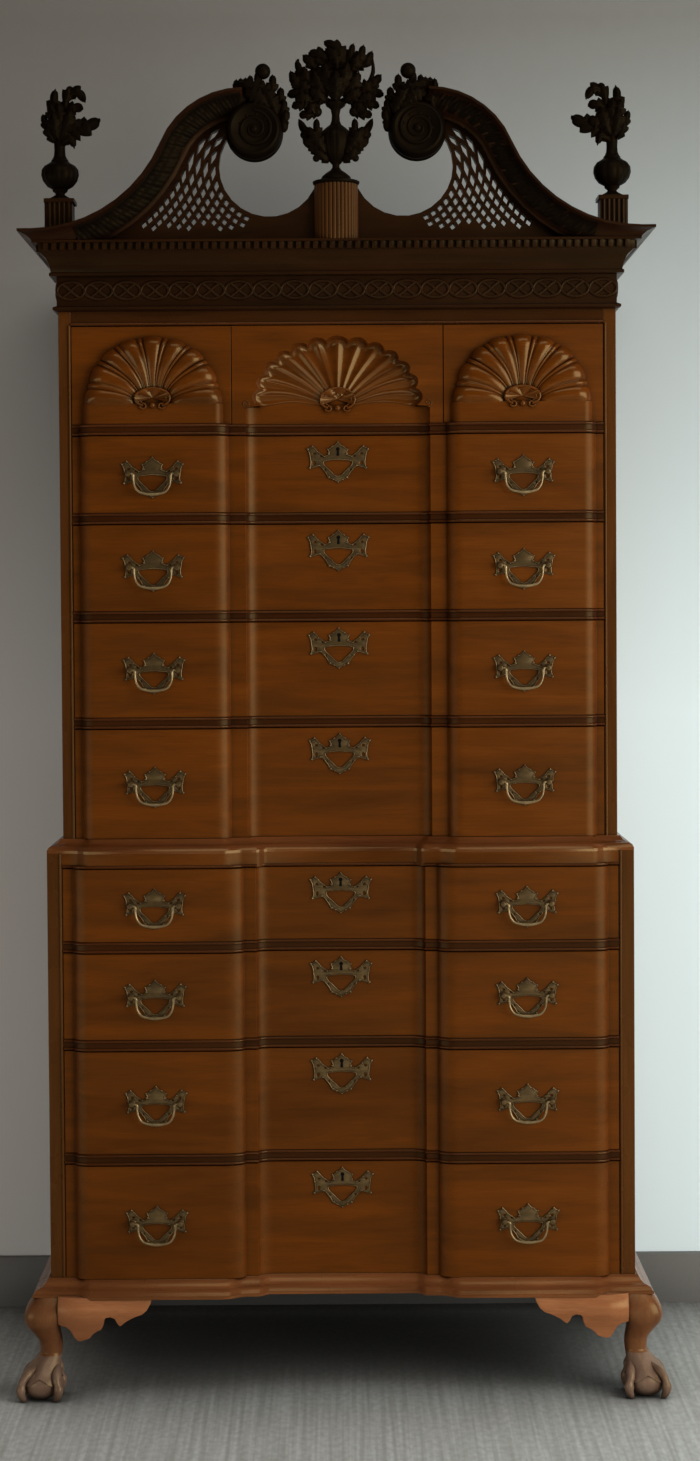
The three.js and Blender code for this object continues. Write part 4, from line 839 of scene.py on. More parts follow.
# %% [markdown]
# ## The rosette at the heart
#
# At the heart of each shell is an oval hollow with a thick rim, petals inside it and a small
# ball under it. The carver cut it last, over the ends of the lobes. Here it lies over the
# fan as a piece of its own, which keeps the fan a plain grid. The rim is a bar bent round
# most of an oval, with two curls at its ends, and the petals are a grid with a wave round it.

# %% Shell rosettes
def spiral(middle, radius, turns, start, steps=26, shrink=0.25, flip=1):
    """A flat curl seen from the front, that thins as it winds in."""
    points = []
    for i in range(steps + 1):
        share = i / steps
        angle = start + flip * 2 * math.pi * turns * share
        reach = radius * (1 - (1 - shrink) * share)
        points.append((middle[0] + reach * math.cos(angle), middle[1],
                       middle[2] + reach * math.sin(angle), 1 - 0.45 * share))
    return points


def heart_rosette(bm, x, y, z, half_x, half_z):
    """Rims, curls, petals, a cushion behind them and a ball, about one middle."""
    for grow, thick, lift in ((1.0, 2.6 * MM, 0.0), (0.78, 1.7 * MM, 1.5 * MM)):
        around = [math.pi * (-0.30 + 1.60 * i / 40) for i in range(41)]
        rim = [(x + half_x * grow * math.cos(a), y + lift, z + half_z * grow * math.sin(a)) for a in around]
        add_mesh(bm, tube(rim, thick))
    for sign in (-1, 1):
        curl = spiral((x + sign * half_x * 0.52, y - 1 * MM, z - half_z * 0.80), 6.5 * MM, 1.1,
                      -0.1 * math.pi if sign > 0 else 1.1 * math.pi, flip=-sign)
        add_mesh(bm, tube(curl, 2.2 * MM))
    petals = bmesh.ops.create_grid(bm, x_segments=56, y_segments=10, size=0.5)["verts"]
    for vert in petals:
        turn = math.pi * (-0.15 + 1.3 * (vert.co.x + 0.5))
        out = vert.co.y + 0.5
        petal = abs(math.sin(turn * 3.5))
        vert.co = (x + half_x * out * math.cos(turn), y + 5 * MM * (1 - out ** 2) - 4.6 * MM * petal * out,
                   z + half_z * out * math.sin(turn))
    cushion = (half_x * 0.96, 7 * MM, half_z * 1.3)
    add_ball(bm, (x, y + 13 * MM, z - half_z * 0.35), cushion, 32, 16)
    add_ball(bm, (x, y - 1 * MM, z - half_z * 0.8), (5.6 * MM, 5.6 * MM, 5.6 * MM), 20)


# %% Carve the three shells
for sign, name in ((-1, "shell_drawer_left"), (1, "shell_drawer_right")):
    bm = fan(RAISED, sign * SHELL_X, SHELL_FOOT, UPPER_FRONT, raised_depth, UPPER_FRONT + 6 * MM, 232)
    make_piece(f"{name}_fan", bm, wood_shell, name, sharp=50)
    bm = bmesh.new()
    heart_rosette(bm, sign * SHELL_X, UPPER_FRONT - 20 * MM, SHELL_FOOT + 0.046, 0.031, 0.017)
    make_piece(f"{name}_rosette", bm, wood_shell, name, sharp=50)

name = "shell_drawer_middle"
bm = fan(SUNK, 0.0, SHELL_FOOT, UPPER_FRONT, sunk_depth, UPPER_FRONT + 26 * MM, 154)
make_piece(f"{name}_fan", bm, wood_shell, name, sharp=50)
bm = bmesh.new()
heart_rosette(bm, 0.0, UPPER_FRONT + 12 * MM, SHELL_FOOT + 0.044, 0.031, 0.020)
for sign in (-1, 1):
    curl = spiral((sign * 0.163, UPPER_FRONT + 0.2 * MM, SHELL_FOOT + 0.036), 7 * MM, 1.3,
                  -math.pi / 2, flip=sign)
    add_mesh(bm, tube(curl, 1.6 * MM))
make_piece(f"{name}_rosette", bm, wood_shell, name, sharp=50)
print("shells", 3)

# %% [markdown]
# ## Brass plates and pulls
#
# Each long drawer carries two pulls and a keyhole plate, all with the same pierced outline.
# A plate was cast in sand, so its edge is soft and its face has small beads and curls. It is
# one sawn outline with openings, half of it drawn from a dozen measured points and then
# mirrored. It is made once and copied, because there are 24 of them.

# %% Outlines of a plate
PLATE_HALF = [(0, 30), (10, 22), (18, 17), (15, 8), (25, 4), (37, 13), (46, 23), (55, 18), (50, 4),
              (50, -17), (35, -12), (27, -18), (17, -34), (0, -42)]
OPENING_HALF = [(0, -1), (13, -2), (25, -4), (25, -11), (14, -22), (6, -30), (0, -32)]
PLATE_CURLS = [(54, 17, 2.0), (45.5, 22, 1.8), (51, -16, 2.0), (16, -33, 2.0), (9, -37, 1.6),
               (17, 9, 1.7), (33, -12, 1.6)]
SMALL_HOLES = [(42.5, 9.5, 3.2, 2.6), (42.5, -7.5, 3.2, 4.4), (30, 5, 2.6, 2.2), (23, -19.5, 1.8, 2.6)]
PLATE_THICK = 1.8 * MM


def both_sides(points):
    """The right half of an outline, closed by its mirror image."""
    right = in_mm(points)
    return right + [(-x, z) for x, z in reversed(right[1:-1])]


def soft_plate_outline():
    """The plate's edge: curved between its points, with its six tips left sharp."""
    whole = both_sides(PLATE_HALF)
    count = len(whole)
    tips = {0, 6, 7, 9, 13, count - 6, count - 7, count - 9}
    result = []
    for i, (x, z) in enumerate(whole):
        x2, z2 = whole[(i + 1) % count]
        result.append((x, z))
        sag = 1.6 * MM * (1 if i in tips or (i + 1) % count in tips else 0.6)
        mid_x, mid_z = (x + x2) / 2, (z + z2) / 2
        pull = 1 - sag / max(math.hypot(mid_x, mid_z), 1 * MM)
        result.append((mid_x * pull, mid_z * pull))
    return result


def small_hole(x, z, half_x, half_z):
    """An oval piercing, run the other way round than the edge."""
    turns = [-2 * math.pi * i / 14 for i in range(14)]
    return [((x + half_x * math.cos(a)) * MM, (z + half_z * math.sin(a)) * MM) for a in turns]


plate_outline = soft_plate_outline()
plate_opening = smooth_line(both_sides(OPENING_HALF), 3)
print("points round a plate", len(plate_outline))


# %% Cast one plate
def cast_plate():
    """One plate about its own middle: sawn, edged with a rim and studded with small beads."""
    one = bmesh.new()
    opening = list(reversed(plate_opening))
    holes = [small_hole(sign * x, z, a, b) for x, z, a, b in SMALL_HOLES for sign in (-1, 1)]
    add_mesh(one, sawn(plate_outline, [opening, *holes], -PLATE_THICK, 0.0, 0.3 * MM))
    for rim in (plate_outline, opening):
        add_mesh(one, tube([(a, -PLATE_THICK, b) for a, b in rim], 0.95 * MM, closed=True, sides=2))
    studs = [(a, b, 1.5 * MM) for a, b in plate_outline[::2]] + [(a, b, 1.1 * MM) for a, b in opening[::3]]
    studs += [(sign * a * MM, b * MM, size * MM) for a, b, size in PLATE_CURLS for sign in (-1, 1)]
    for a, b, size in studs:
        add_ball(one, (a, -PLATE_THICK - 0.2 * MM, b), (size, size, size), 8, 5)
    return mesh_of(one, "cast_plate")


plate_mesh = cast_plate()
print("corners of a plate", len(plate_mesh.vertices))

# %% [markdown]
# ## Posts and bails
#
# Two turned posts stand out from a plate, each with a round head, and the bail hangs between
# them. A bail was bent from a cast rod that is thick in the middle, thin on its arms and has
# a small knuckle at each bend. It is a bar along a smooth line whose points also say how
# thick the bar is there. The bails are pieces of their own, because they swing.

# %% Posts and bails
POST_SPAN = 43 * MM
POST = [(0, 0.5), (5.6, 0.5), (5.4, 2.4), (3.6, 3.6), (2.9, 6.0), (3.6, 7.6), (5.6, 9.0), (6.6, 11.4),
        (6.2, 13.9), (4.4, 16.0), (0, 17.0)]
BAIL_HALF = [(42.4, 0), (37, 0), (33.4, -2.5), (33.2, -10), (31, -22), (24, -32), (12, -36), (0, -37)]
BAIL_SWELL = [0.9, 0.9, 1.1, 0.85, 0.8, 0.9, 1.0, 1.25]
BAIL_RADIUS = 2.5 * MM
BAIL_EYE = 2.4 * MM


def brass_plate(bm, x, face, z):
    """A copy of the cast plate at one place on a drawer."""
    already = len(bm.verts)
    bm.from_mesh(plate_mesh)
    bm.verts.ensure_lookup_table()
    bmesh.ops.translate(bm, vec=(x, face, z), verts=bm.verts[already:])


def post(bm, x, face, z):
    add_turned(bm, in_mm(POST), (x, face - PLATE_THICK * 0.5, z), 20, "Y")


def hang_bail(name):
    """A bail where its solid hangs. What comes back is the middle and height of its posts."""
    low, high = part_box(name)
    middle = (low + high) / 2
    line = high.z - BAIL_EYE
    points = [(middle.x + sign * x * MM, middle.y, line + z * MM)
              for sign, half in ((-1, BAIL_HALF), (1, BAIL_HALF[-2::-1])) for x, z in half]
    swell = BAIL_SWELL + BAIL_SWELL[-2::-1]
    curve = smooth_line([(x, y, z, s) for (x, y, z), s in zip(points, swell)], 4, closed=False)
    bm = bmesh.new()
    add_mesh(bm, tube(curve, BAIL_RADIUS, sides=4))
    make_piece(f"{name}_bar", bm, rubbed_brass, name, sharp=50, stands_for=(name,))
    return middle.x, line


# %% Fit the brasses to the drawers
KEY_PLATE_DROP = 41 * MM
KEY_DROP = 26 * MM
KEY_HALF = [(0.0, 6.2), (2.4, 5.3), (3.5, 3.0), (3.0, 0.8), (1.9, -0.8), (2.5, -9.5)]
KEY = KEY_HALF + [(-x, z) for x, z in reversed(KEY_HALF[1:])]
for name, (front, top) in LONG_DRAWERS.items():
    bm = bmesh.new()
    face = front - BLOCK_RISE
    for side in ("left", "right"):
        x, line = hang_bail(f"{name}_bail_{side}")
        brass_plate(bm, x, face, line)
        for end in (-1, 1):
            post(bm, x + end * POST_SPAN, face, line)
    brass_plate(bm, 0.0, front + MIDDLE_SINK, top - KEY_PLATE_DROP)
    make_piece(f"{name}_brasses", bm, brass, name, sharp=35)
    # The keyhole is a thin dark sheet on the plate: painted shade where the hole is.
    bm = bmesh.new()
    face = front + MIDDLE_SINK - PLATE_THICK
    hole = [(x, top - KEY_DROP + z) for x, z in in_mm(KEY)]
    add_mesh(bm, sawn(hole, [], face - 0.15 * MM, face + 1 * MM))
    make_piece(f"{name}_keyhole", bm, keyhole_shade_sheet, name, sharp=50)
bpy.data.meshes.remove(plate_mesh)
print("pulls", 2 * len(LONG_DRAWERS))

# %% [markdown]
# ## Carved leaves
#
# The pediment is crowned with foliage, carved in the round. It could be sculpted as one mass,
# but every leaf in it has the same build. So it is made of one kind of leaf: a small grid
# bent along a curve, wide in the middle, with lobes along its edges, a raised rib and a tip
# that curls forward. Tables then set each leaf where the carver put it. A row holds its
# base, bend and tip in millimetres from the middle, its width, how far it stands forward
# and how many lobes it has.

# %% The leaf
def leaf(bm, base, bend, tip, width, front, lift=7 * MM, lobes=3, thick=4 * MM):
    """A lobed leaf along a bent line. Base, bend and tip are (x, z) seen from the front."""
    one = bmesh.new()
    grid = bmesh.ops.create_grid(one, x_segments=8, y_segments=30, size=0.5)["verts"]
    base, bend, tip = Vector(base), Vector(bend), Vector(tip)
    for vert in grid:
        across, along = vert.co.x * 2, min(max(vert.co.y + 0.5, 0.0), 1.0)
        place = base * (1 - along) ** 2 + bend * 2 * along * (1 - along) + tip * along ** 2
        ahead = (bend - base) * (1 - along) + (tip - bend) * along
        side = Vector((ahead.y, -ahead.x)).normalized()
        body = math.sin(math.pi * min(1.0, 0.12 + 0.88 * along ** 1.1)) ** 0.75
        tooth = (lobes * along + 0.15) % 1.0
        notch = 0.40 + 0.60 * tooth ** 0.8
        half = width * 0.60 * (body * notch + 0.05)
        spot = place + side * half * across
        arch = math.sin(math.pi * along) * lift + along ** 2 * lift * 0.7
        rib = (1 - abs(across)) ** 3 * 1.6 * MM
        cup = across ** 2 * (3 * MM + 0.08 * width)
        ripple = math.sin(across * 9 + along * 4) * 0.5 * MM
        vert.co = (spot.x, front - arch - rib + cup + ripple, spot.y)
    bmesh.ops.solidify(one, geom=one.faces[:], thickness=thick)
    bmesh.ops.recalc_face_normals(one, faces=one.faces)
    add_mesh(bm, mesh_of(one))


def leaves(bm, table, middle, front, sign=1):
    """All leaves of a table, about a middle that is seen from the front. -1 mirrors them."""
    for base, bend, tip, width, depth, lobes in table:
        spots = [(middle[0] + sign * x * MM, middle[1] + z * MM) for x, z in (base, bend, tip)]
        leaf(bm, *spots, width * MM, front - depth * MM, lobes=lobes)


def bead(bm, x, y, z, radius, flat=1.0):
    """A berry, which may be flattened from front to back."""
    add_ball(bm, (x, y, z), (radius, radius * flat, radius))


def stalk(bm, points, radius, steps=4):
    """A soft bar through points; the fourth number of a point is its thickness there."""
    add_mesh(bm, tube(smooth_line(points, steps, closed=False), radius))


def gadrooned(bm, profile, middle, flutes, depth, steps=96):
    """A turned body whose side is worked into upright lobes."""
    body = bmesh.new()
    add_turned(body, profile, (0, 0, 0), steps)
    low = min(height for _, height in profile)
    high = max(height for _, height in profile)
    for vert in body.verts:
        turn = math.atan2(vert.co.y, vert.co.x)
        share = min(max((vert.co.z - low) / (high - low), 0.0), 1.0)
        cut = 1 - depth * (1 - abs(math.cos(turn * flutes / 2)) ** 0.6) * math.sin(math.pi * share) ** 0.5
        vert.co.x *= cut
        vert.co.y *= cut
    bmesh.ops.translate(body, vec=middle, verts=body.verts)
    add_mesh(bm, mesh_of(body))


def carved(name, bm, *stands_for):
    """A piece of dark carving, which stands for solids of the same name."""
    make_piece(name, bm, wood_carved, sharp=55, stands_for=stands_for)


# %% [markdown]
# ## Rosettes
#
# Each gooseneck ends in a drum with a carved spiral on its face. A crest of leaves hugs the
# drum on the inner side and carries a ball on a short stem. The drum is turned, as it was on
# the lathe. The leaves lie over a sawn body, so that no light shows between them.

# %% Tables for the rosettes
ROSETTE_X = 0.145
ROSETTE_Z = 2.266
ROSETTE_REAR = UPPER_FRONT + 2 * MM
DRUM = [(0, 0), (51, 0), (51.5, 10), (48.5, 14), (48.5, 22), (51, 26), (51, 36), (48, 41), (47, 50),
        (44, 53), (41, 54), (39.5, 52), (0, 51.5)]
CREST_BODY = [(33, 30), (35, 80), (20, 83), (4, 80), (-12, 82), (-26, 76), (-38, 62), (-47, 44), (-51, 24),
              (-50, 8), (-40, 0), (-20, 24), (10, 36)]
CREST_LEAVES = [
    ((29, 62), (31, 78), (31, 90), 13, 34, 2), ((21, 64), (23, 80), (23, 92), 13, 36, 2),
    ((12, 66), (14, 82), (15, 93), 13, 34, 2), ((3, 68), (5, 84), (7, 97), 13, 36, 2),
    ((-40, 44), (-18, 78), (28, 82), 28, 44, 7), ((-24, 62), (-36, 76), (-33, 98), 20, 34, 3),
    ((-36, 48), (-50, 56), (-47, 76), 20, 32, 3), ((-42, 30), (-56, 36), (-52, 54), 20, 34, 3),
    ((-44, 14), (-60, 20), (-56, 36), 18, 36, 2), ((-30, 40), (-10, 62), (16, 66), 26, 50, 5),
    ((-40, 30), (-34, 56), (-12, 72), 24, 48, 4), ((30, 40), (22, 56), (26, 74), 22, 40, 3)]
CREST_STEM = [(-6, 66, 1.5), (-9, 80, 1.2), (-7, 94, 0.9), (-12, 106, 0.8)]
COIL_DEPTH = 52 * MM
STEM_DEPTH = 32 * MM
CREST_THICK = 34 * MM
PETALS = 9

# %% Rosettes
for sign, side in ((-1, "left"), (1, "right")):
    bm = bmesh.new()
    x, z = sign * ROSETTE_X, ROSETTE_Z
    add_turned(bm, in_mm(DRUM), (x, ROSETTE_REAR, z), 64, "Y")
    face, ahead = ROSETTE_REAR - COIL_DEPTH, ROSETTE_REAR - STEM_DEPTH
    coil = spiral((x, face, z), 33 * MM, 2.1, math.pi / 2, steps=90, shrink=0.14, flip=sign)
    add_mesh(bm, tube(coil, 3.4 * MM))
    for i in range(PETALS):
        turn, reach = 2 * math.pi * i / PETALS, 26 * MM
        bead(bm, x + reach * math.cos(turn), face + 1 * MM, z + reach * math.sin(turn), 3.2 * MM, 0.6)
    bead(bm, x, face, z, 7 * MM, 0.8)
    body = [(x + sign * a, z + b) for a, b in in_mm(CREST_BODY)]
    add_mesh(bm, sawn(body[::-sign], [], ROSETTE_REAR - CREST_THICK, ROSETTE_REAR, 3 * MM))
    leaves(bm, CREST_LEAVES, (x, z), ROSETTE_REAR, sign)
    stalk(bm, [(x + sign * a * MM, ahead, z + b * MM, thick) for a, b, thick in CREST_STEM], 7.5 * MM, 5)
    bead(bm, x - sign * 16 * MM, ahead, z + 104 * MM, 14 * MM)
    add_ball(bm, (x - sign * 53 * MM, ahead, z + 9 * MM), (8 * MM, 10 * MM, 13 * MM))
    carved(f"rosette_{side}_carved", bm, f"rosette_{side}")
print("leaves on each rosette", len(CREST_LEAVES))

# %% [markdown]
# ## Centre ornament
#
# A small urn with upright lobes stands on the centre plinth. Leaf scrolls climb out of it on
# both sides and meet in a thick bunch. A mirror modifier would make both halves alike, but
# the right and left tops differ, as carved work does. So only the scrolls are mirrored, and
# the leaves above have rows of their own.

# %% Tables for the centre ornament
URN = [(0, 0), (27, 1), (26, 6), (19, 12), (10, 18), (6.5, 23), (6.5, 27), (10, 31), (15, 36), (21, 45),
       (26, 56), (28.5, 68), (28.5, 78), (26, 86), (18, 93), (10, 99), (7.5, 106), (7, 116), (9, 126),
       (17, 132), (19, 137), (12, 144), (0, 148)]
ORNAMENT_Z = 2.1805
ORNAMENT_Y = UPPER_FRONT - 8 * MM
SIDE_LEAVES = [
    ((16, 42), (40, 60), (66, 108), 24, 6, 5), ((20, 52), (40, 60), (59, 74), 20, 12, 3),
    ((22, 66), (38, 84), (33, 108), 18, 12, 3), ((12, 36), (28, 44), (42, 62), 18, 10, 3),
    ((18, 50), (32, 70), (52, 92), 22, 18, 4), ((32, 148), (60, 160), (86, 152), 22, 8, 4),
    ((38, 132), (58, 138), (78, 131), 20, 12, 4), ((32, 122), (50, 116), (65, 117), 17, 8, 3),
    ((36, 140), (56, 148), (72, 142), 22, 18, 4), ((40, 152), (64, 168), (82, 186), 22, 6, 4),
    ((36, 150), (54, 164), (66, 172), 24, 16, 4), ((28, 140), (44, 128), (52, 120), 18, 14, 3)]
LEFT_LEAVES = [
    ((-42, 162), (-60, 184), (-70, 212), 20, 8, 4), ((-46, 160), (-74, 170), (-80, 192), 18, 14, 3),
    ((-30, 194), (-42, 208), (-58, 221), 19, 8, 3), ((-4, 206), (-20, 230), (-48, 224), 20, 10, 4),
    ((-40, 168), (-54, 186), (-58, 196), 20, 16, 3), ((-14, 204), (-30, 214), (-46, 214), 14, 6, 3)]
RIGHT_LEAVES = [
    ((20, 194), (24, 218), (33, 241), 19, 8, 4), ((28, 194), (44, 212), (51, 238), 21, 10, 4),
    ((36, 202), (58, 206), (66, 228), 18, 6, 3), ((26, 190), (36, 206), (42, 222), 20, 16, 3)]
TOP_LEAVES = [
    ((2, 184), (24, 236), (-20, 244), 26, 10, 5), ((2, 190), (8, 222), (-18, 230), 18, 18, 4),
    ((-12, 150), (-34, 168), (-40, 192), 26, 20, 4), ((12, 150), (34, 166), (42, 188), 26, 20, 4),
    ((-6, 150), (-14, 176), (-20, 204), 26, 24, 4), ((6, 150), (14, 176), (22, 206), 26, 24, 4),
    ((0, 140), (0, 166), (0, 190), 28, 30, 4), ((-16, 140), (-30, 150), (-46, 158), 22, 22, 3),
    ((16, 140), (30, 150), (46, 158), 22, 22, 3)]
ARM = [(8, 4, 136, 1.2), (20, 8, 142, 1.1), (30, 10, 138, 1.0), (32, 10, 128, 0.9), (34, 10, 120, 0.9),
       (46, 10, 116, 0.8)]
LOW_SCROLL = [(14, 6, 40, 1.2), (24, 6, 47, 1.0), (32, 6, 45, 0.9), (35, 6, 38, 0.8)]
OUTER_SCROLL = [(40, 8, 160, 1.3), (58, 8, 170, 1.0), (67, 8, 190, 0.9), (66, 8, 214, 0.5)]
BERRIES = [(26, 10, 140, 7.5), (33, 10, 120, 9), (35, 8, 38, 6.5)]
KNOBS = [(-26, 186, 14), (22, 190, 14), (-2, 182, 14), (0, 160, 15), (-16, 166, 12), (18, 168, 12),
         (-34, 164, 10), (36, 166, 10), (-8, 202, 10), (10, 204, 9)]

# %% Centre ornament
bm = bmesh.new()
gadrooned(bm, in_mm(URN), (0, ORNAMENT_Y, ORNAMENT_Z), 14, 0.05)
middle = (0.0, ORNAMENT_Z)
for sign in (-1, 1):
    leaves(bm, SIDE_LEAVES, middle, ORNAMENT_Y, sign)
    for line, radius in ((ARM, 5.2 * MM), (LOW_SCROLL, 4.6 * MM), (OUTER_SCROLL, 4.4 * MM)):
        stalk(bm, [(sign * a * MM, ORNAMENT_Y - b * MM, ORNAMENT_Z + up * MM, thick)
                   for a, b, up, thick in line], radius)
    for a, b, up, radius in BERRIES:
        bead(bm, sign * a * MM, ORNAMENT_Y - b * MM, ORNAMENT_Z + up * MM, radius * MM)
for table in (LEFT_LEAVES, RIGHT_LEAVES, TOP_LEAVES):
    leaves(bm, table, middle, ORNAMENT_Y)
for x, z, radius in KNOBS:
    bead(bm, x * MM, ORNAMENT_Y - 10 * MM, ORNAMENT_Z + z * MM, radius * MM, 0.8)
carved("cartouche_carved", bm, "cartouche")
print("leaves on the ornament", 2 * len(SIDE_LEAVES) + len(LEFT_LEAVES + RIGHT_LEAVES + TOP_LEAVES))

# %% [markdown]
# ## Centre plinth
#
# The ornament stands on a round plinth worked into fine upright reeds, under a thin cap. A
# ring of small bars could make the reeds, but they would leave gaps. So the shaft is turned
# with many fine steps, and each point is then pushed in or out by a wave round the shaft.

# %% Centre plinth
low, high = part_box("centre_plinth")
PLINTH_TOP = ORNAMENT_Z - 1 * MM
PLINTH_RADIUS = 38 * MM
CAP_UNDER = 6 * MM
REEDS = 32
CAP = [(0, -7), (39, -7), (41, -5), (42, -3), (42, -1), (40, 0), (0, 0)]
middle = (low + high) / 2
bm = bmesh.new()
shaft = [(0, low.z), (PLINTH_RADIUS, low.z), (PLINTH_RADIUS, low.z + 3 * MM),
         (PLINTH_RADIUS, PLINTH_TOP - 9 * MM), (PLINTH_RADIUS, PLINTH_TOP - CAP_UNDER),
         (0, PLINTH_TOP - CAP_UNDER)]
add_turned(bm, shaft, (0, middle.y, 0), 12 * REEDS)
for vert in bm.verts:
    x, y = vert.co.x, vert.co.y - middle.y
    if math.hypot(x, y) > 30 * MM:
        swell = 1 + 0.05 * (abs(math.sin(math.atan2(y, x) * REEDS / 2)) ** 0.7 - 0.3)
        vert.co.x *= swell
        vert.co.y = middle.y + y * swell
make_piece("centre_plinth_reeds", bm, wood_plinth, sharp=70, stands_for=("centre_plinth",))
bm = bmesh.new()
add_turned(bm, in_mm(CAP), (0, middle.y, PLINTH_TOP), 64)
make_piece("centre_plinth_cap", bm, wood_carved, sharp=50)
print("plinth", round(low.z, 4), round(high.z, 4), "cap", round(PLINTH_TOP, 4))

# %% [markdown]
# ## Corner finials
#
# The corner finials repeat the centre ornament on a smaller scale: a lobed bulb on a ring
# and a flame of leaves that leans to one side. Foot, bulb and neck are turned as three
# profiles, because only the bulb is worked into lobes.

# %% Corner finials
FINIAL_X = 0.4965
FINIAL_Y = -0.1845
FINIAL_Z = 2.153
URN_FOOT = [(0, 0), (21, 0), (20, 3), (12, 7), (8.5, 10), (8.5, 12), (13, 15.5), (14, 18), (12, 20), (0, 21)]
BULB = [(0, 18), (13, 19), (24, 25), (31, 34), (34, 44), (33, 54), (28, 61), (21, 65), (0, 66)]
URN_NECK = [(0, 62), (21, 64.5), (18, 67), (15, 69.5), (15.5, 71), (13, 74), (10.5, 80), (9.8, 90),
            (10.5, 104), (12, 120), (11, 134), (0, 140)]
FINIAL_LEAVES = [
    ((-4, 128), (-14, 160), (-6, 198), 26, 4, 4), ((-2, 132), (-10, 156), (-16, 172), 24, 10, 3),
    ((10, 146), (12, 204), (26, 196), 18, 6, 3), ((16, 182), (32, 206), (48, 176), 20, 8, 3),
    ((8, 148), (24, 170), (44, 164), 20, 8, 3), ((4, 122), (38, 122), (74, 144), 32, 6, 4),
    ((8, 128), (30, 136), (44, 134), 26, 12, 3), ((0, 98), (24, 124), (27, 94), 17, 6, 2),
    ((-8, 116), (-26, 138), (-29, 153), 17, 4, 3), ((-8, 106), (-20, 122), (-22, 138), 18, 10, 3),
    ((0, 110), (4, 140), (0, 172), 30, 14, 4), ((4, 112), (18, 138), (22, 158), 28, 16, 4),
    ((-2, 112), (-10, 136), (-8, 156), 24, 18, 3)]
for sign, side in ((-1, "left"), (1, "right")):
    bm = bmesh.new()
    place = (sign * FINIAL_X, FINIAL_Y, FINIAL_Z)
    add_turned(bm, in_mm(URN_FOOT), place, 40)
    gadrooned(bm, in_mm(BULB), place, 11, 0.07)
    add_turned(bm, in_mm(URN_NECK), place, 32)
    leaves(bm, FINIAL_LEAVES, (place[0], place[2]), FINIAL_Y - 2 * MM, -sign)
    carved(f"finial_{side}_carved", bm, f"finial_{side}")
print("finials", 2)

# %% [markdown]
# ## Cabriole legs
#
# A cabriole leg is one smooth S: out at the knee, in at the ankle and out again over a ball.
# The maker sawed it from a square post and rounded it. A box with a subdivision surface
# could follow that, but its section would be hard to steer. So the leg is a grid wrapped
# round, with one row for each ring. A ring is a soft square near the knee and nearly round
# at the ankle. The last rings flare over the ball, and reach lower toward the four talons
# than between them, which gives the webbed edge. A row of the table holds a height and the
# outer and inner side of the leg there.

# %% The leg
LEG_ROWS = [(186, 555, 498), (178, 561.5, 498), (168, 568, 498.5), (157, 572, 500.5), (146, 573, 504),
            (135, 570, 508.5), (124, 563, 510), (113, 555.5, 508.5), (102, 549.5, 507), (91, 547.5, 506.5),
            (80, 547, 507.5)]
FOOT_X = 543.5
FOOT_Y = -0.2515
ANKLE_SHIFT = 527.3 - FOOT_X
ANKLE_Z = 80
WEB_Z = 43
WEB_DIP = 15
WEB_OVER_BALL = 2.0
BALL_RADIUS = 38.5
BALL_HEIGHT = 29
BALL_Z = 28
BALL_TOP = BALL_Z + BALL_HEIGHT
RING = 48
FLARE_STEPS = 9
TUCK_STEPS = 3


def soft_square(turn, power):
    """Distance to the edge of a square with rounded corners, in the direction of a turn."""
    return 1 / (abs(math.cos(turn)) ** power + abs(math.sin(turn)) ** power) ** (1 / power)


def on_ball(z):
    """How far the skin of the foot lies from the middle where it rests on the ball."""
    rise = (max(z, BALL_Z) - BALL_Z) / BALL_HEIGHT
    return BALL_RADIUS * math.sqrt(max(0.02, 1 - rise ** 2)) + WEB_OVER_BALL


def ring_point(row, turn, fine):
    """One point of the leg in millimetres: on the leg, on the flare or tucked under it."""
    web_z = WEB_Z - WEB_DIP * abs(math.sin(2 * turn)) ** 1.4
    flare, tuck = row - len(fine) + 1, row - len(fine) - FLARE_STEPS + 1
    if flare < 1:
        z, outer, inside = fine[row]
        middle = (outer + inside) / 2 - FOOT_X
        power = 2.2 + 1.5 * min(max((z - 90) / 60, 0.0), 1.0)
        reach = (outer - inside) / 2 * soft_square(turn, power)
    elif tuck < 1:
        share = flare / FLARE_STEPS
        z = ANKLE_Z + (web_z - ANKLE_Z) * share
        toward = abs(math.sin(2 * turn)) ** 1.4
        reach = max(20 + 16 * share ** 1.05 + 3.5 * toward * share, on_ball(z) if z < BALL_TOP else 0)
        middle = ANKLE_SHIFT * (1 - share) ** 1.3
    else:
        share = tuck / TUCK_STEPS
        z = web_z - 3 * share
        reach = on_ball(web_z) * (1 - share) + 4 * share
        middle = 0.0
    return Vector((middle + reach * math.cos(turn), middle + reach * math.sin(turn), z))


def leg_surface(bm):
    """The leg alone, about its own foot's middle: a grid wrapped round, one row per ring."""
    fine = smooth_line(LEG_ROWS, 4, closed=False)
    rows = len(fine) + FLARE_STEPS + TUCK_STEPS
    one = bmesh.new()
    grid = bmesh.ops.create_grid(one, x_segments=RING, y_segments=rows - 1, size=0.5)["verts"]
    for vert in grid:
        row = round((vert.co.y + 0.5) * (rows - 1))
        vert.co = ring_point(row, 2 * math.pi * (vert.co.x + 0.5), fine) * MM
    bmesh.ops.remove_doubles(one, verts=one.verts, dist=0.05 * MM)
    bmesh.ops.holes_fill(one, edges=[e for e in one.edges if e.is_boundary], sides=0)
    bmesh.ops.recalc_face_normals(one, faces=one.faces)
    add_mesh(bm, mesh_of(one))


print("rings down a leg", 4 * (len(LEG_ROWS) - 1) + 1 + FLARE_STEPS + TUCK_STEPS)

# %% The foot
TALON = [(16, 64, 0.4), (27, 56, 0.8), (36, 48, 1.15), (42, 39, 1.0), (45.5, 31, 0.95), (47.5, 23, 1.2),
         (46, 13, 1.0), (41, 5, 0.8), (37, 1.5, 0.4)]
TALON_RADIUS = 7.2 * MM


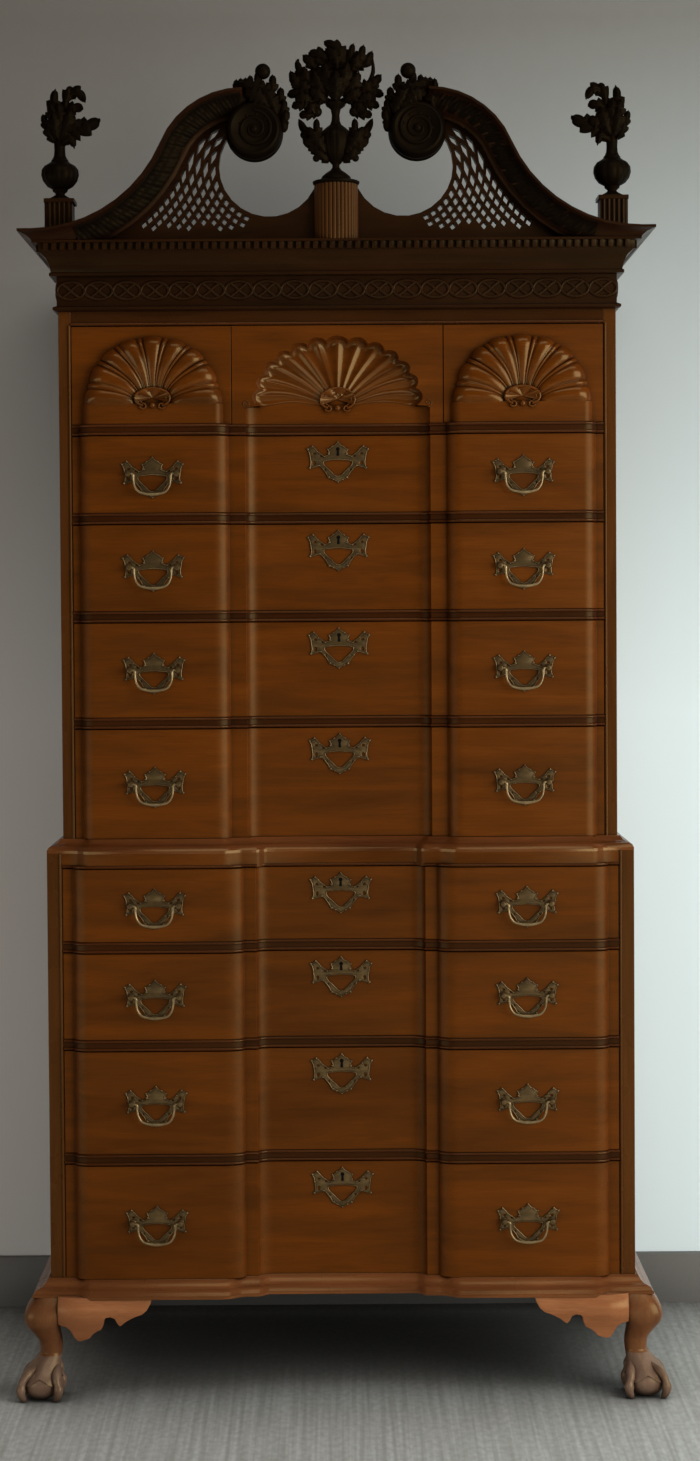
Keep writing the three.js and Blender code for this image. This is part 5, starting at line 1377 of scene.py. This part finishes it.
def foot(bm):
    """The ball and the four talons that grip it."""
    add_ball(bm, (0, 0, BALL_Z * MM), (BALL_RADIUS * MM, BALL_RADIUS * MM, BALL_HEIGHT * MM), 40, 24)
    for eighth in (1, 3, 5, 7):
        turn = eighth * math.pi / 4
        bar = []
        for i, (reach, z, swell) in enumerate(TALON):
            middle = ANKLE_SHIFT * MM * max(0.0, 1 - i / 3) ** 1.3
            out = reach * MM
            bar.append((middle + out * math.cos(turn), middle + out * math.sin(turn), z * MM, swell))
        add_mesh(bm, tube(smooth_line(bar, 4, closed=False), TALON_RADIUS, sides=4))
    for vert in bm.verts:
        vert.co.z = max(vert.co.z, 0.0)


print("points along a talon", len(TALON))

# %% [markdown]
# ## Knee brackets
#
# A shaped bracket runs from each knee along the base. Its lower edge is a row of hollows
# and points, and its face follows the blocked line like the moulding above it. It is sawn
# flat, cut by many planes so that it has points to bend at, and then bent on to its place.

# %% The shape of a bracket
BRACKET_EDGE = [(510, 186), (510, 138), (502, 136), (496, 135), (489, 129), (485, 121), (481, 113),
                (477, 108), (471, 107), (462, 110), (455, 113), (449, 121), (441, 127), (434, 130),
                (430, 138), (428, 148), (425, 153), (416, 154.5), (408, 151), (403, 141), (399, 137),
                (395, 140), (389, 145), (381, 149.5), (372, 154), (360, 158), (352, 165), (345, 177),
                (343, 186)]
BRACKET_FACE = LOWER_FRONT - 27 * MM
BRACKET_THICK = 26 * MM
BRACKET_TURN = (451 * MM, 516 * MM)
SIDE_BRACKET_FACE = 0.554
SIDE_BRACKET_RUN = 0.292
CUTS_ACROSS = (38, 0.356, 0.0041)
CUTS_UP = (16, 0.1095, 0.005)


def line_depth(x, line):
    """How far the blocked line stands forward or back at one place across the front."""
    for (x0, y0), (x1, y1) in zip(line, line[1:]):
        if x0 <= x <= x1:
            return y0 + (y1 - y0) * (x - x0) / (x1 - x0) if x1 > x0 else y0
    return 0.0


def bracket_depth(x, z, blocked):
    """The face of a bracket: a quarter turn on to the block, and a bulge that fades inwards."""
    near = min(max((x - 0.385) / 0.09, 0.0), 1.0)
    height = min(max((z - 0.100) / 0.086, 0.0), 1.0)
    bulge = (4 + 10 * near) * MM * math.sin(math.pi * height ** 1.8)
    lean = (4 + 8 * near) * MM * (1 - height) ** 1.5
    if not blocked:
        return lean - bulge
    first, last = BRACKET_TURN
    share = min(max((x - first) / (last - first), 0.0), 1.0)
    on_block = -BLOCK_RISE * math.sqrt(1 - share ** 2) if x > first else line_depth(x, lower_line)
    return lean - bulge + on_block


def cut_through(bm, height, direction, **keep):
    """Cut everything with a plane, at a distance from the origin along a direction."""
    return bmesh.ops.bisect_plane(bm, geom=bm.verts[:] + bm.edges[:] + bm.faces[:], dist=1e-6,
                                  plane_co=Vector(direction) * height, plane_no=direction, **keep)["geom_cut"]


def bracket(bm, blocked):
    """The bracket on the blocked front, or the plain one that runs back along the side."""
    one = bmesh.new()
    add_mesh(one, sawn(in_mm(BRACKET_EDGE), [], 0.0, BRACKET_THICK, 0.8 * MM))
    for (count, first, step), direction in ((CUTS_ACROSS, (1, 0, 0)), (CUTS_UP, (0, 0, 1))):
        for i in range(count):
            cut_through(one, first + i * step, direction)
    for vert in one.verts:
        vert.co.y += bracket_depth(vert.co.x, vert.co.z, blocked)
    if blocked:
        bmesh.ops.translate(one, vec=(0, BRACKET_FACE, 0), verts=one.verts)
    else:
        quarter_turn = Matrix.Rotation(math.pi / 2, 3, "Z")
        bmesh.ops.translate(one, vec=(0, -SIDE_BRACKET_FACE, 0), verts=one.verts)
        bmesh.ops.rotate(one, cent=(0, 0, 0), matrix=quarter_turn, verts=one.verts)
        bmesh.ops.scale(one, vec=(1, -1, 1), verts=one.verts)
        bmesh.ops.translate(one, vec=(0, SIDE_BRACKET_RUN, 0), verts=one.verts)
    add_mesh(bm, mesh_of(one))


print("points along a bracket", len(BRACKET_EDGE))

# %% [markdown]
# ## Four corners
#
# Leg, foot and bracket are made for the front right corner and mirrored to the other three.
# The real leg and foot are one piece of wood, but the foot has lost some polish and is paler,
# its paleness partly painted light from low in front. So the leg is cut at the ankle and each
# part gets its own finish. The rear legs have no bracket along the back, where nobody sees it.

# %% Set the legs
FOOT_TOP = 76 * MM


def keep_part(bm, height, above):
    """Keep what lies above or below a height and close the cut."""
    cut = cut_through(bm, height, (0, 0, 1), clear_inner=above, clear_outer=not above)
    bmesh.ops.holes_fill(bm, edges=[e for e in cut if isinstance(e, bmesh.types.BMEdge)], sides=0)


for end, sign_y in (("front", 1), ("rear", -1)):
    for side, sign_x in (("left", -1), ("right", 1)):
        node = f"leg_{end}_{side}"
        for part, finish, above in (("cabriole", wood_leg, True), ("ball_and_talons", wood_foot, False)):
            bm = bmesh.new()
            leg_surface(bm)
            keep_part(bm, FOOT_TOP, above)
            if not above:
                foot(bm)
            bmesh.ops.scale(bm, vec=(1, -1, 1), verts=bm.verts)
            bmesh.ops.translate(bm, vec=(FOOT_X * MM, FOOT_Y, 0), verts=bm.verts)
            bmesh.ops.scale(bm, vec=(sign_x, sign_y, 1), verts=bm.verts)
            make_piece(f"{node}_{part}", bm, finish, sharp=50, stands_for=(node,) if above else ())
        bm = bmesh.new()
        bracket(bm, False)
        if end == "front":
            bracket(bm, True)
        bmesh.ops.scale(bm, vec=(sign_x, sign_y, 1), verts=bm.verts)
        make_piece(f"{node}_brackets", bm, wood_bracket, sharp=40)
print("legs", 4)

# %% [markdown]
# ## Fret on the frieze
#
# A band of linked ovals with crossed bars is glued on the frieze. Each oval laps over the
# next, so the band reads as a chain. It was sawn from thin wood and its edges are rounded,
# so round bars half sunk in the frieze give the same look with few faces.

# %% Fret
FRET_Z = 1.9875
FRET_PITCH = 50.2 * MM
OVAL_HALF = (24.5 * MM, 15.5 * MM)
OVAL_POINTS = 36
CROSS = [(-15.5, -12), (-6, -5.5), (0, 0), (6, 5.5), (15.5, 12)]
FRET_BAR = 2.8 * MM
FRET_PROUD = 2.2 * MM
FRONT_OVALS = 20
SIDE_OVALS = 10
FRIEZE_SIDE = 0.5022
FRIEZE_SIDE_MIDDLE = 0.0415
SIDE_SHARE = 0.985


def fret_run(bm, count, place):
    """A row of ovals and crosses; `place` turns (along, up) into a point on the frieze."""
    turns = [2 * math.pi * i / OVAL_POINTS for i in range(OVAL_POINTS)]
    for i in range(count):
        middle = (i - (count - 1) / 2) * FRET_PITCH
        oval = [place(middle + OVAL_HALF[0] * math.cos(a), OVAL_HALF[1] * math.sin(a)) for a in turns]
        add_mesh(bm, tube(oval, FRET_BAR, closed=True, sides=2))
        for sign in (-1, 1):
            bar = [place(middle + along, sign * up) for along, up in in_mm(CROSS)]
            add_mesh(bm, tube(bar, FRET_BAR, sides=2))


bm = bmesh.new()
fret_run(bm, FRONT_OVALS, lambda along, up: (along, UPPER_FRONT - FRET_PROUD, FRET_Z + up))
for sign in (-1, 1):
    fret_run(bm, SIDE_OVALS, lambda along, up: (
        sign * FRIEZE_SIDE, FRIEZE_SIDE_MIDDLE + along * SIDE_SHARE, FRET_Z + up))
make_piece("frieze_fret", bm, wood_cornice, sharp=60)
print("ovals in the fret", FRONT_OVALS + 2 * SIDE_OVALS)

# %% [markdown]
# ## Carved band on the goosenecks
#
# The goosenecks are two arcs that meet in an S. A band of leaf carving fills their hollow.
# Single leaves could be set along it, but at this height only the rhythm can be read. So it
# is a long grid laid along the arcs, pushed forward by a pattern of slanted lobes.

# %% The line of a gooseneck
CROWN_TOP = 2.09094
LOW_ARC = (0.540, CROWN_TOP + 0.251, 0.251)
HIGH_ARC = (0.165, 2.177, 0.159)
CROWN_WIDTH = 0.046
CROWN_REACH = 0.065
CROWN_SECTION = [(0, 1), (0.1, 1), (0.13, 0.92), (0.21, 0.78), (0.31, 0.69), (0.39, 0.646), (0.57, 0.61),
                 (0.72, 0.53), (0.84, 0.46), (0.87, 0.37), (1, 0.34)]
MEET = math.atan2(LOW_ARC[1] - HIGH_ARC[1], LOW_ARC[0] - HIGH_ARC[0])


def neck_at(length):
    """A point on the outer edge of the gooseneck and the inward direction, by distance run."""
    low_run = LOW_ARC[2] * (math.pi / 2 - MEET)
    if length < low_run:
        angle = -math.pi / 2 - length / LOW_ARC[2]
        inward = (math.cos(angle), math.sin(angle))
        return (LOW_ARC[0] + LOW_ARC[2] * inward[0], LOW_ARC[1] + LOW_ARC[2] * inward[1]), inward
    angle = MEET + (length - low_run) / HIGH_ARC[2]
    inward = (-math.cos(angle), -math.sin(angle))
    return (HIGH_ARC[0] - HIGH_ARC[2] * inward[0], HIGH_ARC[1] - HIGH_ARC[2] * inward[1]), inward


def crown_reach(down):
    """How far the moulding stands forward at a share of its width."""
    for (d0, o0), (d1, o1) in zip(CROWN_SECTION, CROWN_SECTION[1:]):
        if d0 <= down <= d1:
            return (o0 + (o1 - o0) * (down - d0) / max(d1 - d0, 1e-6)) * CROWN_REACH
    return 0.0


NECK_RUN = LOW_ARC[2] * (math.pi / 2 - MEET) + HIGH_ARC[2] * (math.pi / 2 - MEET)
print("gooseneck run", round(NECK_RUN, 3))

# %% Gooseneck carving
BAND = (0.15, 0.82)
BAND_START = 0.075
BAND_END = NECK_RUN - 0.004
LOBE_PITCH = 0.026
BAND_SINK = -1.2
BAND_RELIEF = 3.6
BAND_THICK = 3 * MM


def band_relief(run, share):
    """Slanted lobes with finer ones between them, fading at both edges of the band."""
    slant = run / LOBE_PITCH - 0.9 * share
    broad = abs(math.sin(math.pi * slant)) ** 0.7
    fine = abs(math.sin(3 * math.pi * slant + 3 * share))
    edge = math.sin(math.pi * share) ** 0.35 if 0 < share < 1 else 0.0
    return (BAND_SINK + BAND_RELIEF * (0.62 * broad + 0.38 * fine) * edge) * MM


for sign, side in ((-1, "left"), (1, "right")):
    bm = bmesh.new()
    grid = bmesh.ops.create_grid(bm, x_segments=300, y_segments=20, size=0.5)["verts"]
    for vert in grid:
        run = BAND_START + (BAND_END - BAND_START) * (vert.co.x + 0.5)
        share = min(max(vert.co.y + 0.5, 0.0), 1.0)
        down = BAND[0] + (BAND[1] - BAND[0]) * share
        (x, z), inward = neck_at(run)
        vert.co = (sign * (x + inward[0] * down * CROWN_WIDTH),
                   UPPER_FRONT - crown_reach(down) - band_relief(run, share),
                   z + inward[1] * down * CROWN_WIDTH)
    bmesh.ops.solidify(bm, geom=bm.faces[:], thickness=-sign * BAND_THICK)
    make_piece(f"gooseneck_{side}_leaf_band", bm, wood_carved, sharp=70)
print("leaf bands", 2)

# %% [markdown]
# ## Reeds on the corner plinths
#
# The plinths under the finials are worked into reeds on their front and outer faces. Here
# the faces are flat and small, so a row of upright round bars, half sunk in the wood, is the
# shortest way to them.

# %% Corner plinth reeds
REED_RADIUS = 3.3 * MM
REED_PITCH = 8.6 * MM
REED_TOP = 2.1455
REED_FOOT = 2.088
SIDE_REED_FOOT = 2.074
SIDE_REED_X = 0.520
bm = bmesh.new()
for sign in (-1, 1):
    for i in range(5):
        off = (i - 2) * REED_PITCH
        x = sign * FINIAL_X + off
        add_mesh(bm, tube([(x, UPPER_FRONT, z) for z in (REED_FOOT, REED_TOP)], REED_RADIUS))
        x, y = sign * SIDE_REED_X, FINIAL_Y + off
        add_mesh(bm, tube([(x, y, z) for z in (SIDE_REED_FOOT, REED_TOP)], REED_RADIUS))
make_piece("corner_plinth_reeds", bm, wood_cornice, sharp=60)
print("reeds on the corner plinths", 20)

# %% [markdown]
# ## Floor, wall and light
#
# A plain pale floor and a pale wall keep all the attention on the wood. The wall has painted
# light and shade: paler toward the right, greyer on the left and darker toward the top. A tall
# soft light stands to the right, in front of the chest, and draws long highlights down the
# rounded edges of the blocks. A weaker and lower one on the left reaches the legs. Two faint
# ones, above and low in front, and a dim even sky fill the rest. The floor and the skirting
# are painted darker where little open air is above them, a painted shadow that deepens the
# shadow under the chest.

# %% Paint and floor
SHADOW_REACH = 0.42


def paint_shadow_under(finish, colour):
    """A painted shadow: the colour, darker where something stands close above the surface."""
    open_air = finish.add("ShaderNodeAmbientOcclusion", {"Distance": SHADOW_REACH}).outputs["AO"]
    # Painted shadow: mix toward a dark grey where ambient occlusion finds things close above.
    return finish.mix(finish.ramp(open_air, 0.2, 0.92), tint(52, 52, 48), colour)


def plain_surface(name, first, second, rough):
    """Paint with a cloudy tone, a fine grain and a painted shadow under things."""
    finish = Finish(name)
    cloud = finish.noise(1.3, detail=3)
    fine = finish.noise(60, detail=2)
    colour = paint_shadow_under(finish, finish.mix(cloud, first, second))
    finish.set(Base_Color=colour, Roughness=finish.ramp(fine, 0, 1, rough, rough + 0.15))
    finish.bump(fine, 0.0004, 0.3)
    return finish.material


def wall_finish(name):
    """Wall paint with painted light and shade: greyer on the left, paler toward the window light on the right
    and darker toward the top.
    """
    finish = Finish(name)
    place = finish.add("ShaderNodeSeparateXYZ", {0: finish.place}).outputs
    cloud = finish.ramp(finish.noise(1.2), 0.3, 0.7, -0.05, 0.05)
    # Painted light: paler toward the lit right side and greyer on the left, with a random cloud of tone.
    painted_light_and_cloud = finish.math("ADD", finish.ramp(place["X"], -0.9, 0.75), cloud)
    colour = finish.mix(painted_light_and_cloud, tint(224, 214, 206), tint(238, 254, 255))
    # Painted shade: the wall turns darker toward the top.
    painted_top_shade = finish.ramp(place["Z"], 1.2, 2.6, 0.0, 0.9)
    colour = finish.mix(painted_top_shade, colour, tint(108, 101, 90))
    finish.set(Base_Color=colour, Roughness=finish.ramp(finish.noise(40), 0.3, 0.7, 0.65, 0.8))
    return finish.material


def ribbed_floor(name):
    """A pale woven floor with fine ribs that run toward the wall."""
    finish = Finish(name)
    ribs = finish.noise(110, (1, 0.02, 1), detail=1)
    weave = finish.noise(90, (1, 0.6, 1), detail=3)
    colour = finish.mix(finish.ramp(ribs, 0.3, 0.7), tint(184, 186, 180), tint(216, 218, 214))
    colour = finish.mix(finish.ramp(weave, 0.35, 0.7, 0.0, 0.4), colour, tint(150, 150, 142))
    # Painted shadow: darker where the chest stands close above the floor.
    colour = paint_shadow_under(finish, colour)
    finish.set(Base_Color=colour, Roughness=finish.ramp(weave, 0.3, 0.7, 0.75, 0.95))
    finish.bump(weave, 0.0008, 0.5)
    return finish.material


wall_paint = wall_finish("wall_paint")
floor_paint = ribbed_floor("floor_paint")
skirting_paint = plain_surface("skirting_paint", tint(148, 144, 136), tint(160, 156, 148), 0.5)
print("stage paints", 3)

# %% Floor, wall and skirting
WALL_FACE = 0.37
WALL_REAR = 0.39
SKIRTING_FACE = 0.352
SKIRTING_REAR = 0.372
SKIRTING_HIGH = 0.10
STAGE_HALF = 4
STAGE_FRONT = -7
STAGE_THICK = 0.02
WALL_HIGH = 3.4


def stage_board(name, low, high, finish):
    """A board that is only scenery."""
    bm = bmesh.new()
    add_board(bm, low, high)
    mesh = mesh_of(bm, name)
    mesh.materials.append(finish)
    board = bpy.data.objects.new(name, mesh)
    scene.collection.objects.link(board)


stage_board("floor_stage", (-STAGE_HALF, STAGE_FRONT, -STAGE_THICK), (STAGE_HALF, WALL_REAR, 0), floor_paint)
stage_board("wall_stage", (-STAGE_HALF, WALL_FACE, -STAGE_THICK), (STAGE_HALF, WALL_REAR, WALL_HIGH),
            wall_paint)
stage_board("skirting_stage", (-STAGE_HALF, SKIRTING_FACE, 0), (STAGE_HALF, SKIRTING_REAR, SKIRTING_HIGH),
            skirting_paint)
print("wall", WALL_FACE, "m behind the middle of the chest")

# %% Soft lights

def soft_light(name, place, aim, width, height, watts, colour=(1, 1, 1)):
    """A glowing rectangle at a place, turned toward its aim."""
    light = bpy.data.lights.new(name, "AREA")
    light.shape = "RECTANGLE"
    light.size, light.size_y = width, height
    light.energy = watts
    light.color = colour
    lamp = bpy.data.objects.new(name, light)
    lamp.location = place
    lamp.rotation_euler = (Vector(aim) - Vector(place)).to_track_quat("-Z", "Y").to_euler()
    scene.collection.objects.link(lamp)


soft_light("window_right", (3.0, -2.6, 1.55), (0.0, -0.2, 1.2), 3.0, 2.6, 134, (1.0, 0.99, 0.97))
soft_light("window_left", (-3.0, -2.6, 0.4), (0.0, -0.2, 0.3), 3.0, 1.4, 30, (1.0, 0.98, 0.95))
soft_light("ceiling_light", (0.6, -1.9, 3.9), (0.2, -0.5, 0.8), 2.8, 1.2, 22)
soft_light("low_light", (0.2, -3.6, 0.35), (0, -0.3, 0.15), 1.6, 0.5, 3)

# %% Even sky
SKY_COLOUR = (1.0, 0.96, 0.9, 1)
SKY_STRENGTH = 0.07
world = bpy.data.worlds.new("even_sky")
world.use_nodes = True
sky = world.node_tree.nodes["Background"].inputs
sky["Color"].default_value = SKY_COLOUR
sky["Strength"].default_value = SKY_STRENGTH
scene.world = world
scene.view_settings.view_transform = "Standard"
print("sky strength", SKY_STRENGTH)
